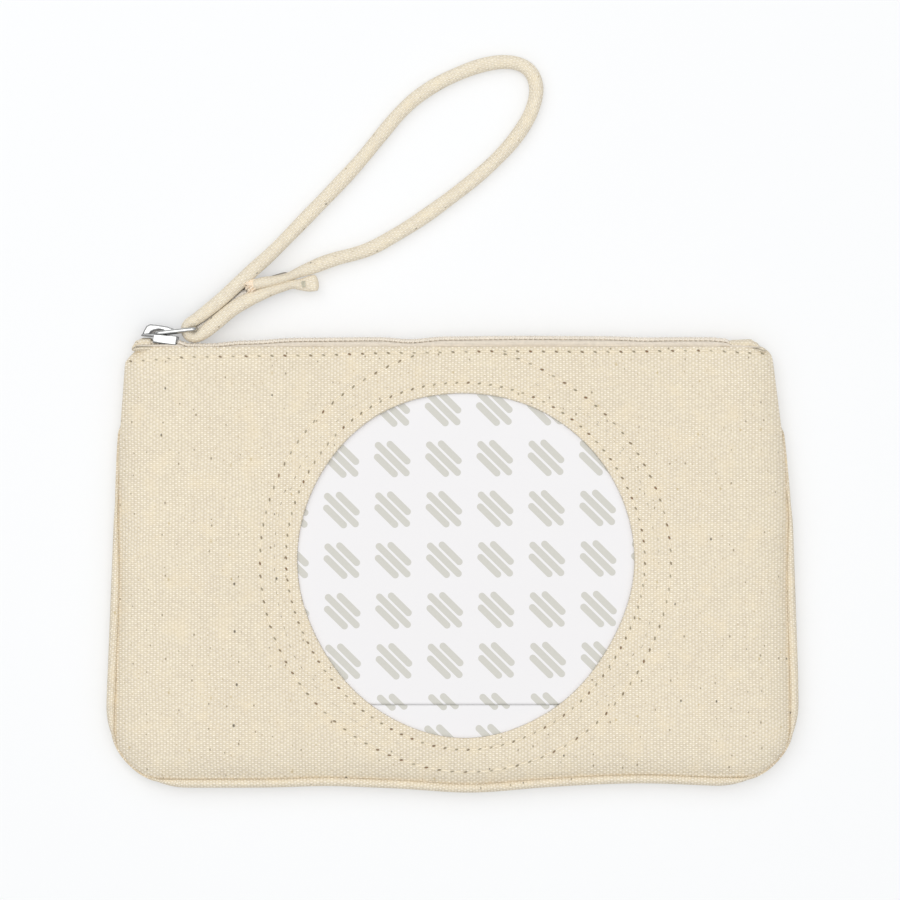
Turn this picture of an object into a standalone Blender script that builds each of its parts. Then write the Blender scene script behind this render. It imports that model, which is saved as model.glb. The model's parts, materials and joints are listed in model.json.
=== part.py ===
"""Flat canvas wristlet pouch with a zip along its top edge and a round window in its front.

Metres, +Z up. The pouch lies on its back: X runs along the zip, Y points from the bottom seam
to the zip, and the front panel faces up. The origin is on the back panel's outer face.
"""

import math

import bmesh
import bpy
from mathutils import Matrix, Vector

MM = 0.001

# Pouch outline: a straight top, sides that lean outwards with a slight bend part of the way
# down, and two rounded bottom corners.
TOP_Y = 65.4 * MM
BOTTOM_Y = -66.2 * MM
TOP_LEFT_X = -98.7 * MM
TOP_RIGHT_X = 96.3 * MM
SIDE_BEND_Y = 14.0 * MM
LEFT_BEND_X = -102.0 * MM
RIGHT_BEND_X = 102.2 * MM
BOTTOM_LEFT_X = -105.0 * MM
BOTTOM_RIGHT_X = 104.8 * MM
CORNER_RADIUS = 21 * MM
CORNER_SEGMENTS = 8

# The two panels: dished sheets, the front one set inside the back one's rolled rim.
CANVAS = 1.1 * MM
THICKNESS = 11.2 * MM
MID_Z = THICKNESS / 2
BORDER_WIDTH = 5.0 * MM
TRIM_OVERRUN = 15.0 * MM
BACK_EDGE_Z = 4.8 * MM
RIM_TOP_Z = 6.8 * MM
FRONT_EDGE_Z = 7.0 * MM
FRONT_INSET = 2.4 * MM
SEAM_ALLOWANCE = 2.0 * MM
GAP = 0.3 * MM

# Mouth hinge: the bottom seam, where the front swings away from the back.
HINGE = Vector((0, -63.0 * MM, MID_Z))

# Round window and the layers behind it.
WINDOW_CENTER = Vector((3.7 * MM, 1.3 * MM, 0))
WINDOW_RADIUS = 50.8 * MM
PAPER_RADIUS = WINDOW_RADIUS - 0.4 * MM
FACING_RADIUS = 55.2 * MM
BACKING_RADIUS = 58.4 * MM
PAPER_THICKNESS = 0.3 * MM
PAPER_TOP_Z = THICKNESS - CANVAS - GAP
ADHESIVE_THICKNESS = 0.2 * MM
BACKING_THICKNESS = 0.6 * MM
SLIT_Y = -41.1 * MM
ROUND_SEGMENTS = 64

# Stitching.
THREAD_RADIUS = 0.2 * MM
INNER_STITCH_RADIUS = 54.0 * MM
OUTER_STITCH_RADIUS = 61.7 * MM
OUTER_STITCH_GAP_DEG = 16
TOP_STITCH_LEFT = (-86.0 * MM, 62.4 * MM)
TOP_STITCH_RIGHT = (84.0 * MM, 64.6 * MM)

# Zip: tape, coil and stops, measured up from the tape and out from the chain's middle.
TAPE = 0.3 * MM
TAPE_TOP_Y = 66.9 * MM
TAPE_DEPTH = 10.0 * MM
TAPE_HALF_WIDTH = 4.2 * MM
CHAIN_HALF_GAP = 0.6 * MM
COIL_WIDTH = 2.4 * MM
COIL_HEIGHT = 1.3 * MM
COIL_LEFT_X = -94.3 * MM
COIL_RIGHT_X = 80.3 * MM
TAPE_LEFT_X = -97.6 * MM
TAPE_RIGHT_X = 92.0 * MM
TAPE_WEB_LEFT_X = -88.0 * MM
TAPE_WEB_RIGHT_X = 85.0 * MM
COIL_ROUNDING = 0.3 * MM
STOP_LENGTH = 0.9 * MM
STOP_ROUNDING = 0.2 * MM
BOTTOM_STOP_LENGTH = 1.44 * MM
BOTTOM_STOP_ROUNDING = 0.3 * MM
END_TAB_LEFT_X = (-98.4 * MM, -95.7 * MM)
END_TAB_RIGHT_X = (82.4 * MM, 91.6 * MM)
END_TAB_HALF_WIDTH = 3.6 * MM
END_TAB_HEIGHT = 1.5 * MM
END_TAB_ROUNDING = 0.5 * MM

# Slider, in its own frame: x from its middle, y as in the pouch.
SLIDER_X = -88.4 * MM
PLATE_BOTTOM_Y = 68.8 * MM
PLATE_TOP_Y = 69.5 * MM
PLATE_HALF_WIDTH = 4.3 * MM
PLATE_OUTLINE_MM = [
    (-5.8, -2.4), (-3.8, -4.3), (3.6, -4.3), (5.8, -3.3),
    (5.8, 3.3), (3.6, 4.3), (-3.8, 4.3), (-5.8, 2.4),
]
PLATE_CORNER = 0.8 * MM
FLANGE_BOTTOM_Y = 67.15 * MM
FLANGE_X = (-1.3 * MM, 5.5 * MM)
FLANGE_WIDTH = 1.0 * MM
LOWER_PLATE_Y = (65.7 * MM, 66.3 * MM)
LOWER_PLATE_OUTLINE_MM = [
    (-4.6, -1.8), (-3.4, -3.4), (3.2, -3.4), (4.8, -2.4),
    (4.8, 2.4), (3.2, 3.4), (-3.4, 3.4), (-4.6, 1.8),
]
LOWER_PLATE_CORNER = 0.6 * MM
POST_X = (-4.0 * MM, -1.2 * MM)
POST_WIDTH = 0.6 * MM
# Shapes that are joined into one run this far into each other, or stop this far short of a face.
JOIN_OVERLAP = 0.1 * MM
JOIN_STEP = 0.04 * MM
SLIDER_ROUNDING = 0.15 * MM
# The cap's side view: over the top from its nose to its tail, and back under the arch.
CAP_OUTLINE_MM = [
    (-4.9, 69.8), (-4.5, 71.4), (-3.3, 72.8), (-1.4, 73.1), (1.4, 72.6), (4.2, 71.5),
    (5.0, 69.8), (2.3, 69.8), (1.6, 71.1), (0.3, 71.5), (-1.4, 71.5), (-2.4, 70.9),
    (-2.6, 69.8),
]
CAP_HALF_WIDTH = 2.2 * MM
CAP_CORNER = 0.3 * MM
CAP_ROUNDING = 0.25 * MM
SPRING_X = (-1.9 * MM, 1.0 * MM)
SPRING_Y = (70.98 * MM, 71.18 * MM)
SPRING_Z = (-1.2 * MM, 1.2 * MM)

# Pull ring, pull tab and strap hang on the ring's far bar.
WIRE_RADIUS = 0.5 * MM
RING_PIVOT = Vector((-88.9 * MM, 70.2 * MM, MID_Z))
RING_BAR = Vector((-77.7 * MM, 71.5 * MM, MID_Z))
RING_HALF_WIDTH = 3.75 * MM
RING_CORNER = 0.9 * MM
RING_CORNER_STEPS = 3
TAB_THICKNESS = 1.2 * MM
TAB_WIDTH = 5.8 * MM
TAB_EYE_RADIUS = 2.4 * MM
TAB_HOLE_RADIUS = 0.85 * MM
TAB_LENGTH = 34.0 * MM
TAB_NECK_LENGTH = 9.0 * MM
TAB_START_DEG = 42.0
TAB_END_DEG = 14.0
TAB_UNDERSIDE_Z = 2.65 * MM
TAB_DROOP_DEG = 3.4
TAB_STEPS = 14
TAB_END_POINTS = 9
TAB_ROUNDING = 0.25 * MM

STRAP_RADIUS = 2.1 * MM
STRAP_PINCHED_RADIUS = 1.1 * MM
STRAP_TURN_RADIUS = 1.85 * MM
STRAP_STEP = 6.0 * MM

# The strap's route from its raw end round the loop to the ring, in millimetres:
# x, y, height of the centre line, radius as a share of STRAP_RADIUS.
ROUTE_TO_RING = [
    (-59.0, 85.0, 5.1, 0.60),
    (-57.0, 85.6, 5.0, 0.68),
    (-54.0, 86.2, 4.8, 0.56),
    (-51.3, 86.9, 4.6, 0.54),
    (-48.9, 87.7, 4.4, 0.56),
    (-45.9, 89.0, 4.1, 0.72),
    (-42.3, 90.3, 3.8, 0.92),
    (-39.0, 91.5, 3.5, 1.0),
    (-34.9, 92.9, 3.1, 1.0),
    (-26.4, 95.3, 2.5, 1.0),
    (-19.2, 98.9, 2.3, 1.0),
    (-7.9, 106.0, 2.2, 1.0),
    (6.4, 116.8, 2.2, 1.0),
    (15.1, 124.9, 2.2, 1.0),
    (20.3, 131.3, 2.2, 1.0),
    (23.8, 137.7, 2.2, 1.0),
    (25.1, 144.2, 2.2, 1.0),
    (23.2, 149.3, 2.2, 1.0),
    (18.6, 151.8, 2.2, 1.0),
    (12.0, 151.8, 2.2, 1.0),
    (3.4, 149.3, 2.2, 1.0),
    (-7.1, 144.1, 2.2, 1.0),
    (-16.1, 136.6, 2.2, 1.0),
    (-29.4, 120.7, 2.3, 1.0),
    (-44.6, 104.7, 3.0, 1.0),
    (-54.1, 94.9, 4.2, 1.0),
    (-60.0, 89.5, 4.9, 1.0),
    (-64.7, 85.1, 5.3, 1.0),
    (-69.3, 80.8, 5.6, 1.0),
    (-73.9, 77.0, 6.1, 0.88),
    (-77.0, 74.5, 6.35, 0.64),
]
# From the ring to the strap's sewn end.
ROUTE_FROM_RING = [
    (-74.5, 71.3, 6.35, 0.64),
    (-71.0, 73.4, 6.1, 0.86),
    (-66.2, 77.3, 5.7, 0.98),
    (-61.8, 80.0, 5.3, 0.92),
    (-58.8, 81.3, 5.1, 0.80),
    (-56.4, 82.2, 4.95, 0.66),
    (-53.7, 83.1, 4.75, 0.54),
    (-51.0, 83.9, 4.6, 0.54),
    (-48.3, 84.6, 4.4, 0.60),
    (-45.9, 84.9, 4.2, 0.74),
    (-43.5, 85.1, 4.0, 0.86),
    (-41.4, 85.4, 3.9, 0.84),
]
STRAP_TURN_Z = 6.4 * MM
STRAP_TURN_DEG = (140, 180, 220, 260, 295)
BARTACK_CENTER = Vector((-44.6 * MM, 86.8 * MM, 6.2 * MM))
BARTACK_SIZE = (1.8 * MM, 4.6 * MM, 0.5 * MM)
BARTACK_ROUNDING = 0.1 * MM

CANVAS_COLOR = (0.84, 0.74, 0.58)
TAPE_COLOR = (0.70, 0.61, 0.48)
THREAD_COLOR = (0.66, 0.53, 0.30)
PAPER_COLOR = (0.90, 0.90, 0.90)
BACKING_COLOR = (0.80, 0.78, 0.72)
ADHESIVE_COLOR = (0.85, 0.85, 0.80)
NICKEL_COLOR = (0.72, 0.72, 0.70)
SPRING_COLOR = (0.60, 0.60, 0.60)


def clear_scene():
    for obj in list(bpy.data.objects):
        bpy.data.objects.remove(obj, do_unlink=True)


def new_collection(name):
    collection = bpy.data.collections.new(name)
    bpy.context.scene.collection.children.link(collection)
    return collection


def new_material(name, color, roughness, metallic=0.0):
    material = bpy.data.materials.new(name)
    material.use_nodes = True
    shader = material.node_tree.nodes["Principled BSDF"]
    shader.inputs["Base Color"].default_value = (*color, 1.0)
    shader.inputs["Roughness"].default_value = roughness
    shader.inputs["Metallic"].default_value = metallic
    return material


def new_empty(name, location, parent=None):
    empty = bpy.data.objects.new(name, None)
    empty.empty_display_size = 5 * MM
    return place(empty, location, parent)


def world_location(obj):
    here = obj.location.copy()
    return here + world_location(obj.parent) if obj.parent else here


def place(obj, location, parent=None):
    """Link the object to the pouch, with its origin at a place given in the pouch's frame."""
    POUCH.objects.link(obj)
    obj.parent = parent
    obj.location = Vector(location) - (world_location(parent) if parent else Vector())
    return obj


def part_from_bmesh(name, bm, material, location=(0, 0, 0), parent=None):
    mesh = bpy.data.meshes.new(name)
    bm.to_mesh(mesh)
    bm.free()
    mesh.materials.append(material)
    return place(bpy.data.objects.new(name, mesh), location, parent)


def cutter_from_bmesh(name, bm, location=(0, 0, 0), parent=None):
    mesh = bpy.data.meshes.new(name)
    bm.to_mesh(mesh)
    bm.free()
    cutter = bpy.data.objects.new(name, mesh)
    CUTTERS.objects.link(cutter)
    cutter.parent = parent
    cutter.location = Vector(location) - (world_location(parent) if parent else Vector())
    cutter.hide_render = True
    cutter.display_type = "WIRE"
    return cutter


def boolean(obj, tool, operation="DIFFERENCE"):
    modifier = obj.modifiers.new(operation.title(), "BOOLEAN")
    modifier.operation = operation
    modifier.solver = "EXACT"
    modifier.object = tool


def bevel(obj, width, segments=2):
    modifier = obj.modifiers.new("Bevel", "BEVEL")
    modifier.width = width
    modifier.segments = segments
    modifier.limit_method = "ANGLE"
    modifier.angle_limit = math.radians(50)


def box_bmesh(x_range, y_range, z_range):
    bm = bmesh.new()
    bmesh.ops.create_cube(bm, size=1.0)
    ranges = (x_range, y_range, z_range)
    size = Matrix.Diagonal([high - low for low, high in ranges] + [1.0])
    center = Matrix.Translation([(low + high) / 2 for low, high in ranges])
    bmesh.ops.transform(bm, matrix=center @ size, verts=bm.verts)
    return bm


def disc_bmesh(radius, z_range):
    bm = bmesh.new()
    bmesh.ops.create_cone(
        bm, cap_ends=True, segments=ROUND_SEGMENTS, radius1=radius, radius2=radius,
        depth=z_range[1] - z_range[0],
    )
    bmesh.ops.translate(bm, verts=bm.verts, vec=(0, 0, sum(z_range) / 2))
    return bm


def plate_bmesh(corners, thickness, rounding=0.0, segments=3):
    """A flat plate: a polygon in XY with rounded corners, drawn up along +Z."""
    bm = bmesh.new()
    face = bm.faces.new([bm.verts.new((x, y, 0)) for x, y in corners])
    if rounding:
        bmesh.ops.bevel(
            bm, geom=list(bm.verts), offset=rounding, segments=segments, profile=0.5,
            affect="VERTICES", offset_type="OFFSET",
        )
        face = bm.faces[:][0]
    drawn = bmesh.ops.extrude_face_region(bm, geom=[face])
    top = [item for item in drawn["geom"] if isinstance(item, bmesh.types.BMVert)]
    bmesh.ops.translate(bm, verts=top, vec=(0, 0, thickness))
    bmesh.ops.recalc_face_normals(bm, faces=bm.faces)
    return bm


def tube(name, points, radius, material, location, parent=None, cyclic=False, resolution=2,
         radii=None):
    """A round tube with filled caps along points given in the pouch's frame."""
    curve = bpy.data.curves.new(name, "CURVE")
    curve.dimensions = "3D"
    curve.bevel_depth = radius
    curve.bevel_resolution = resolution
    curve.use_fill_caps = True
    spline = curve.splines.new("POLY")
    spline.points.add(len(points) - 1)
    for index, point in enumerate(points):
        spline.points[index].co = (*(Vector(point) - Vector(location)), 1.0)
        spline.points[index].radius = radii[index] if radii else 1.0
    spline.use_cyclic_u = cyclic
    curve.materials.append(material)
    return place(bpy.data.objects.new(name, curve), location, parent)


def arc_points(center, radius, start_deg, end_deg, count, z):
    angles = [math.radians(start_deg + (end_deg - start_deg) * i / (count - 1)) for i in range(count)]
    return [
        Vector((center[0] + radius * math.cos(a), center[1] + radius * math.sin(a), z))
        for a in angles
    ]


def inset(bm, face, distance):
    """Shrink a face evenly and return the ring of faces left round it."""
    return bmesh.ops.inset_region(
        bm, faces=[face], thickness=distance, use_boundary=True, use_even_offset=True,
    )["faces"]


def outline_face(bm, top_y):
    """One face with the pouch's outline, its sides carried on up to top_y."""
    reach = (top_y - SIDE_BEND_Y) / (TOP_Y - SIDE_BEND_Y)
    left = LEFT_BEND_X + (TOP_LEFT_X - LEFT_BEND_X) * reach
    right = RIGHT_BEND_X + (TOP_RIGHT_X - RIGHT_BEND_X) * reach
    corners = [
        (BOTTOM_LEFT_X, BOTTOM_Y), (BOTTOM_RIGHT_X, BOTTOM_Y), (RIGHT_BEND_X, SIDE_BEND_Y),
        (right, top_y), (left, top_y), (LEFT_BEND_X, SIDE_BEND_Y),
    ]
    verts = [bm.verts.new((x, y, 0)) for x, y in corners]
    bm.faces.new(verts)
    bmesh.ops.bevel(
        bm, geom=verts[:2], offset=CORNER_RADIUS, segments=CORNER_SEGMENTS, profile=0.5,
        affect="VERTICES", offset_type="OFFSET",
    )
    return bm.faces[:][0]


def dished_sheet(edge_inset, edge_z, flat_z, rim_top_z=None):
    """The panel's outer surface: a flat field, a sloping border and, if asked for, a rim.

    It is drawn past the top and trimmed there, so the mouth side stays open.
    """
    bm = bmesh.new()
    face = outline_face(bm, TOP_Y + TRIM_OVERRUN)
    if edge_inset:
        bmesh.ops.delete(bm, geom=inset(bm, face, edge_inset), context="FACES")
    for vert in face.verts:
        vert.co.z = edge_z
    inset(bm, face, BORDER_WIDTH)
    for vert in face.verts:
        vert.co.z = flat_z
    if rim_top_z:
        edge_loop = [edge for edge in bm.edges if edge.is_boundary]
        rim = bmesh.ops.extrude_edge_only(bm, edges=edge_loop)["geom"]
        verts = [item for item in rim if isinstance(item, bmesh.types.BMVert)]
        bmesh.ops.translate(bm, verts=verts, vec=(0, 0, rim_top_z - edge_z))
    bmesh.ops.bisect_plane(
        bm, geom=bm.verts[:] + bm.edges[:] + bm.faces[:], plane_co=(0, TOP_Y, 0),
        plane_no=(0, 1, 0), clear_outer=True,
    )
    bmesh.ops.recalc_face_normals(bm, faces=bm.faces)
    middle = max(bm.faces, key=lambda f: f.calc_area())
    faces_up = flat_z > edge_z
    if (middle.normal.z > 0) != faces_up:
        bmesh.ops.reverse_faces(bm, faces=bm.faces)
    return bm


def solidify(obj, thickness):
    modifier = obj.modifiers.new("Solidify", "SOLIDIFY")
    modifier.thickness = thickness
    modifier.offset = -1.0
    modifier.use_even_offset = True


def build_back_panel(material):
    bm = dished_sheet(0.0, BACK_EDGE_Z, 0.0, RIM_TOP_Z)
    solidify(part_from_bmesh("back_panel", bm, material), CANVAS)


def build_front_panel(material, mouth):
    bm = dished_sheet(FRONT_INSET, FRONT_EDGE_Z, THICKNESS)
    panel = part_from_bmesh("front_panel", bm, material, parent=mouth)
    solidify(panel, CANVAS)
    hole = disc_bmesh(WINDOW_RADIUS, (0, 2 * THICKNESS))
    boolean(panel, cutter_from_bmesh("window_cutter", hole, WINDOW_CENTER, mouth))


def build_window_layers(facing_material, backing_material, adhesive_material, paper_material, mouth):
    facing_z = (PAPER_TOP_Z - PAPER_THICKNESS, PAPER_TOP_Z)
    facing = part_from_bmesh(
        "window_facing", disc_bmesh(FACING_RADIUS, facing_z), facing_material,
        WINDOW_CENTER, mouth,
    )
    hole = disc_bmesh(WINDOW_RADIUS, (0, THICKNESS))
    boolean(facing, cutter_from_bmesh("facing_cutter", hole, WINDOW_CENTER, mouth))

    adhesive_top = PAPER_TOP_Z - PAPER_THICKNESS - GAP
    adhesive_z = (adhesive_top - ADHESIVE_THICKNESS, adhesive_top)
    part_from_bmesh(
        "adhesive_sheet", disc_bmesh(PAPER_RADIUS, adhesive_z), adhesive_material,
        WINDOW_CENTER, mouth,
    )
    backing_top = adhesive_z[0] - GAP
    backing_z = (backing_top - BACKING_THICKNESS, backing_top)
    part_from_bmesh(
        "insert_backing", disc_bmesh(BACKING_RADIUS, backing_z), backing_material,
        WINDOW_CENTER, mouth,
    )

    slit = SLIT_Y - WINDOW_CENTER.y
    halves = {
        "release_paper_upper": (-WINDOW_RADIUS * 2, slit + GAP / 2),
        "release_paper_lower": (slit - GAP / 2, WINDOW_RADIUS * 2),
    }
    wide = (-2 * WINDOW_RADIUS, 2 * WINDOW_RADIUS)
    for name, cut_away_y in halves.items():
        paper = part_from_bmesh(
            name, disc_bmesh(PAPER_RADIUS, facing_z), paper_material, WINDOW_CENTER, mouth,
        )
        cut = box_bmesh(wide, cut_away_y, (0, 2 * THICKNESS))
        boolean(paper, cutter_from_bmesh(name + "_cutter", cut, WINDOW_CENTER, mouth))


def build_threads(material, mouth):
    """Stitch lines as plain runs of thread, just clear of the canvas they hold."""
    on_front_z = THICKNESS + GAP + THREAD_RADIUS
    bpy.ops.mesh.primitive_torus_add(
        major_radius=INNER_STITCH_RADIUS, minor_radius=THREAD_RADIUS,
        major_segments=ROUND_SEGMENTS, minor_segments=6,
    )
    torus = bpy.context.active_object
    mesh = torus.data
    mesh.materials.append(material)
    bpy.data.objects.remove(torus)
    inner = bpy.data.objects.new("thread_window_inner", mesh)
    place(inner, WINDOW_CENTER + Vector((0, 0, on_front_z)), mouth)

    outer = arc_points(
        WINDOW_CENTER, OUTER_STITCH_RADIUS, 90 + OUTER_STITCH_GAP_DEG,
        450 - OUTER_STITCH_GAP_DEG, ROUND_SEGMENTS, on_front_z,
    )
    tube("thread_window_outer", outer, THREAD_RADIUS, material, WINDOW_CENTER, mouth, resolution=0)

    top = [(*TOP_STITCH_LEFT, on_front_z), (*TOP_STITCH_RIGHT, on_front_z)]
    tube("thread_top_front", top, THREAD_RADIUS, material, top[0], mouth, resolution=0)
    inside_z = MID_Z - TAPE_HALF_WIDTH + TAPE + GAP + THREAD_RADIUS
    back = [(*TOP_STITCH_LEFT, inside_z), (*TOP_STITCH_RIGHT, inside_z)]
    tube("thread_top_back", back, THREAD_RADIUS, material, back[0], resolution=0)


def build_seam_thread(material):
    """The side and bottom seam's thread, inside the pouch where the two borders meet."""
    bm = bmesh.new()
    face = outline_face(bm, TOP_Y)
    inset(bm, face, FRONT_INSET + SEAM_ALLOWANCE)
    ring = [(vert.co.x, vert.co.y, BACK_EDGE_Z + GAP) for vert in face.verts]
    bm.free()
    top_left = min(range(len(ring)), key=lambda i: ring[i][0] - ring[i][1])
    points = ring[top_left:] + ring[:top_left]
    tube("thread_side_seam", points, THREAD_RADIUS, material, points[0], resolution=0)


def build_zip_half(side, tape_material, coil_material, stop_material, parent):
    """One half of the zip: side is 1 for the front half and -1 for the back half."""
    label = "front" if side > 0 else "back"

    def span(near, far):
        return tuple(sorted((MID_Z + side * near, MID_Z + side * far)))

    flange = box_bmesh(
        (TAPE_LEFT_X, TAPE_RIGHT_X), (TAPE_TOP_Y - TAPE, TAPE_TOP_Y),
        span(CHAIN_HALF_GAP, TAPE_HALF_WIDTH),
    )
    tape = part_from_bmesh("zipper_tape_" + label, flange, tape_material, parent=parent)
    web = box_bmesh(
        (TAPE_WEB_LEFT_X, TAPE_WEB_RIGHT_X), (TAPE_TOP_Y - TAPE_DEPTH, TAPE_TOP_Y - TAPE / 2),
        span(TAPE_HALF_WIDTH - TAPE, TAPE_HALF_WIDTH),
    )
    boolean(tape, cutter_from_bmesh("tape_web_" + label, web, parent=parent), "UNION")

    coil_y = (TAPE_TOP_Y + GAP, TAPE_TOP_Y + GAP + COIL_HEIGHT)
    coil_z = span(CHAIN_HALF_GAP, CHAIN_HALF_GAP + COIL_WIDTH)
    coil = part_from_bmesh(
        "zipper_coil_" + label, box_bmesh((COIL_LEFT_X, COIL_RIGHT_X), coil_y, coil_z),
        coil_material, parent=parent,
    )
    bevel(coil, COIL_ROUNDING)
    stop_x = (COIL_LEFT_X - GAP - STOP_LENGTH, COIL_LEFT_X - GAP)
    stop = part_from_bmesh(
        "zipper_top_stop_" + label, box_bmesh(stop_x, coil_y, coil_z), stop_material,
        parent=parent,
    )
    bevel(stop, STOP_ROUNDING)


def build_zip_ends(tab_material, stop_material):
    coil_y = (TAPE_TOP_Y + GAP, TAPE_TOP_Y + GAP + COIL_HEIGHT)
    both = CHAIN_HALF_GAP + COIL_WIDTH
    stop_x = (COIL_RIGHT_X + GAP, COIL_RIGHT_X + GAP + BOTTOM_STOP_LENGTH)
    stop = part_from_bmesh(
        "zipper_bottom_stop", box_bmesh(stop_x, coil_y, (MID_Z - both, MID_Z + both)),
        stop_material,
    )
    bevel(stop, BOTTOM_STOP_ROUNDING)
    tab_y = (TAPE_TOP_Y + GAP, TAPE_TOP_Y + GAP + END_TAB_HEIGHT)
    tab_z = (MID_Z - END_TAB_HALF_WIDTH, MID_Z + END_TAB_HALF_WIDTH)
    for name, x_range in (("left", END_TAB_LEFT_X), ("right", END_TAB_RIGHT_X)):
        tab = part_from_bmesh(
            "zipper_end_tab_" + name, box_bmesh(x_range, tab_y, tab_z), tab_material,
        )
        bevel(tab, END_TAB_ROUNDING)


def upright(bm, y_low):
    """Turn a plate drawn in XY up on its side, so that its outline lies in XZ above y_low."""
    turn = Matrix.Rotation(math.radians(90), 4, "X")
    bmesh.ops.transform(bm, matrix=turn, verts=bm.verts)
    lowest = min(vert.co.y for vert in bm.verts)
    bmesh.ops.translate(bm, verts=bm.verts, vec=(0, y_low - lowest, 0))
    return bm


def scaled(outline_mm):
    return [(x * MM, y * MM) for x, y in outline_mm]


def build_slider(material, spring_material, slider):
    origin = Vector((SLIDER_X, 0, MID_Z))
    plate = plate_bmesh(scaled(PLATE_OUTLINE_MM), PLATE_TOP_Y - PLATE_BOTTOM_Y, PLATE_CORNER)
    body = part_from_bmesh("slider_body", upright(plate, PLATE_BOTTOM_Y), material, origin, slider)

    for name, side in (("flange_front", 1), ("flange_back", -1)):
        inner_z = side * (PLATE_HALF_WIDTH - FLANGE_WIDTH)
        outer_z = side * (PLATE_HALF_WIDTH - JOIN_STEP)
        flange = box_bmesh(
            FLANGE_X, (FLANGE_BOTTOM_Y, PLATE_TOP_Y - JOIN_STEP), sorted((inner_z, outer_z)),
        )
        boolean(body, cutter_from_bmesh(name, flange, origin, slider), "UNION")
    post = box_bmesh(
        POST_X, (LOWER_PLATE_Y[0] + JOIN_OVERLAP, PLATE_BOTTOM_Y + JOIN_OVERLAP),
        (-POST_WIDTH / 2, POST_WIDTH / 2),
    )
    boolean(body, cutter_from_bmesh("post", post, origin, slider), "UNION")
    lower = plate_bmesh(
        scaled(LOWER_PLATE_OUTLINE_MM), LOWER_PLATE_Y[1] - LOWER_PLATE_Y[0], LOWER_PLATE_CORNER,
    )
    lower_tool = cutter_from_bmesh("lower_plate", upright(lower, LOWER_PLATE_Y[0]), origin, slider)
    boolean(body, lower_tool, "UNION")
    bevel(body, SLIDER_ROUNDING, 1)

    cap = plate_bmesh(scaled(CAP_OUTLINE_MM), 2 * CAP_HALF_WIDTH, CAP_CORNER, segments=2)
    bmesh.ops.translate(cap, verts=cap.verts, vec=(0, 0, -CAP_HALF_WIDTH))
    bevel(part_from_bmesh("slider_cap", cap, material, origin, slider), CAP_ROUNDING)

    spring = box_bmesh(SPRING_X, SPRING_Y, SPRING_Z)
    part_from_bmesh("slider_lock_spring", spring, spring_material, origin, slider)


def build_pull_ring(material, slider):
    """A wire loop: its near bar runs under the slider's cap, its far bar carries tab and strap."""
    along = RING_BAR - RING_PIVOT
    near = RING_CORNER
    far = along.length - RING_CORNER
    high = RING_HALF_WIDTH - RING_CORNER
    turn = Matrix.Rotation(math.atan2(along.y, along.x), 4, "Z")
    points = []
    for corner, (x, z) in enumerate([(near, high), (far, high), (far, -high), (near, -high)]):
        for step in range(RING_CORNER_STEPS + 1):
            angle = math.radians(180 - 90 * (corner + step / RING_CORNER_STEPS))
            local = Vector((
                x + RING_CORNER * math.cos(angle), 0, z + RING_CORNER * math.sin(angle),
            ))
            points.append(RING_PIVOT + turn @ local)
    return tube("pull_ring", points, WIRE_RADIUS, material, RING_PIVOT, slider, cyclic=True)


def tab_outline():
    """Both edges of the pull tab: a band that curves in plan, with a narrow round eye."""
    centre, left, right = Vector((0, 0)), [], []
    for index in range(TAB_STEPS + 1):
        share = index / TAB_STEPS
        angle = math.radians(TAB_START_DEG + (TAB_END_DEG - TAB_START_DEG) * share)
        heading = Vector((math.cos(angle), math.sin(angle)))
        neck = min(1.0, share * TAB_LENGTH / TAB_NECK_LENGTH)
        ease = neck * neck * (3 - 2 * neck)
        half = TAB_EYE_RADIUS + (TAB_WIDTH / 2 - TAB_EYE_RADIUS) * ease
        side = Vector((-heading.y, heading.x)) * half
        left.append(centre + side)
        right.append(centre - side)
        if index < TAB_STEPS:
            centre = centre + heading * (TAB_LENGTH / TAB_STEPS)
    ends = []
    for middle, angle, radius in (
        (centre, TAB_END_DEG, TAB_WIDTH / 2), (Vector((0, 0)), TAB_START_DEG + 180, TAB_EYE_RADIUS),
    ):
        arc = arc_points(middle, radius, angle - 90, angle + 90, TAB_END_POINTS, 0)
        ends.append([point.xy for point in arc[1:-1]])
    return right + ends[0] + left[::-1] + ends[1]


def build_pull_tab(material, ring):
    plate = plate_bmesh([tuple(point) for point in tab_outline()], TAB_THICKNESS)
    droop_axis = math.radians((TAB_START_DEG + TAB_END_DEG) / 2 + 90)
    axis = Vector((math.cos(droop_axis), math.sin(droop_axis), 0))
    droop = Matrix.Rotation(math.radians(TAB_DROOP_DEG), 4, axis)
    bmesh.ops.transform(plate, matrix=droop, verts=plate.verts)
    location = Vector((RING_BAR.x, RING_BAR.y, TAB_UNDERSIDE_Z))
    tab = part_from_bmesh("pull_tab", plate, material, location, ring)
    hole = disc_bmesh(TAB_HOLE_RADIUS, (-3 * TAB_THICKNESS, 4 * TAB_THICKNESS))
    boolean(tab, cutter_from_bmesh("tab_hole", hole, location, ring))
    bevel(tab, TAB_ROUNDING)


def smooth_path(points, step):
    """Points along a Catmull-Rom curve through the given ones, about step apart.

    Each point is x, y, z and a radius share, which is smoothed along with the rest.
    """
    path = []
    for index in range(len(points) - 1):
        before = points[max(index - 1, 0)]
        start, end = points[index], points[index + 1]
        after = points[min(index + 2, len(points) - 1)]
        count = max(1, round((end.xyz - start.xyz).length / step))
        for part in range(count):
            t = part / count
            path.append(0.5 * (
                2 * start + (end - before) * t
                + (2 * before - 5 * start + 4 * end - after) * t * t
                + (3 * start - before - 3 * end + after) * t * t * t
            ))
    return path + [points[-1]]


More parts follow.
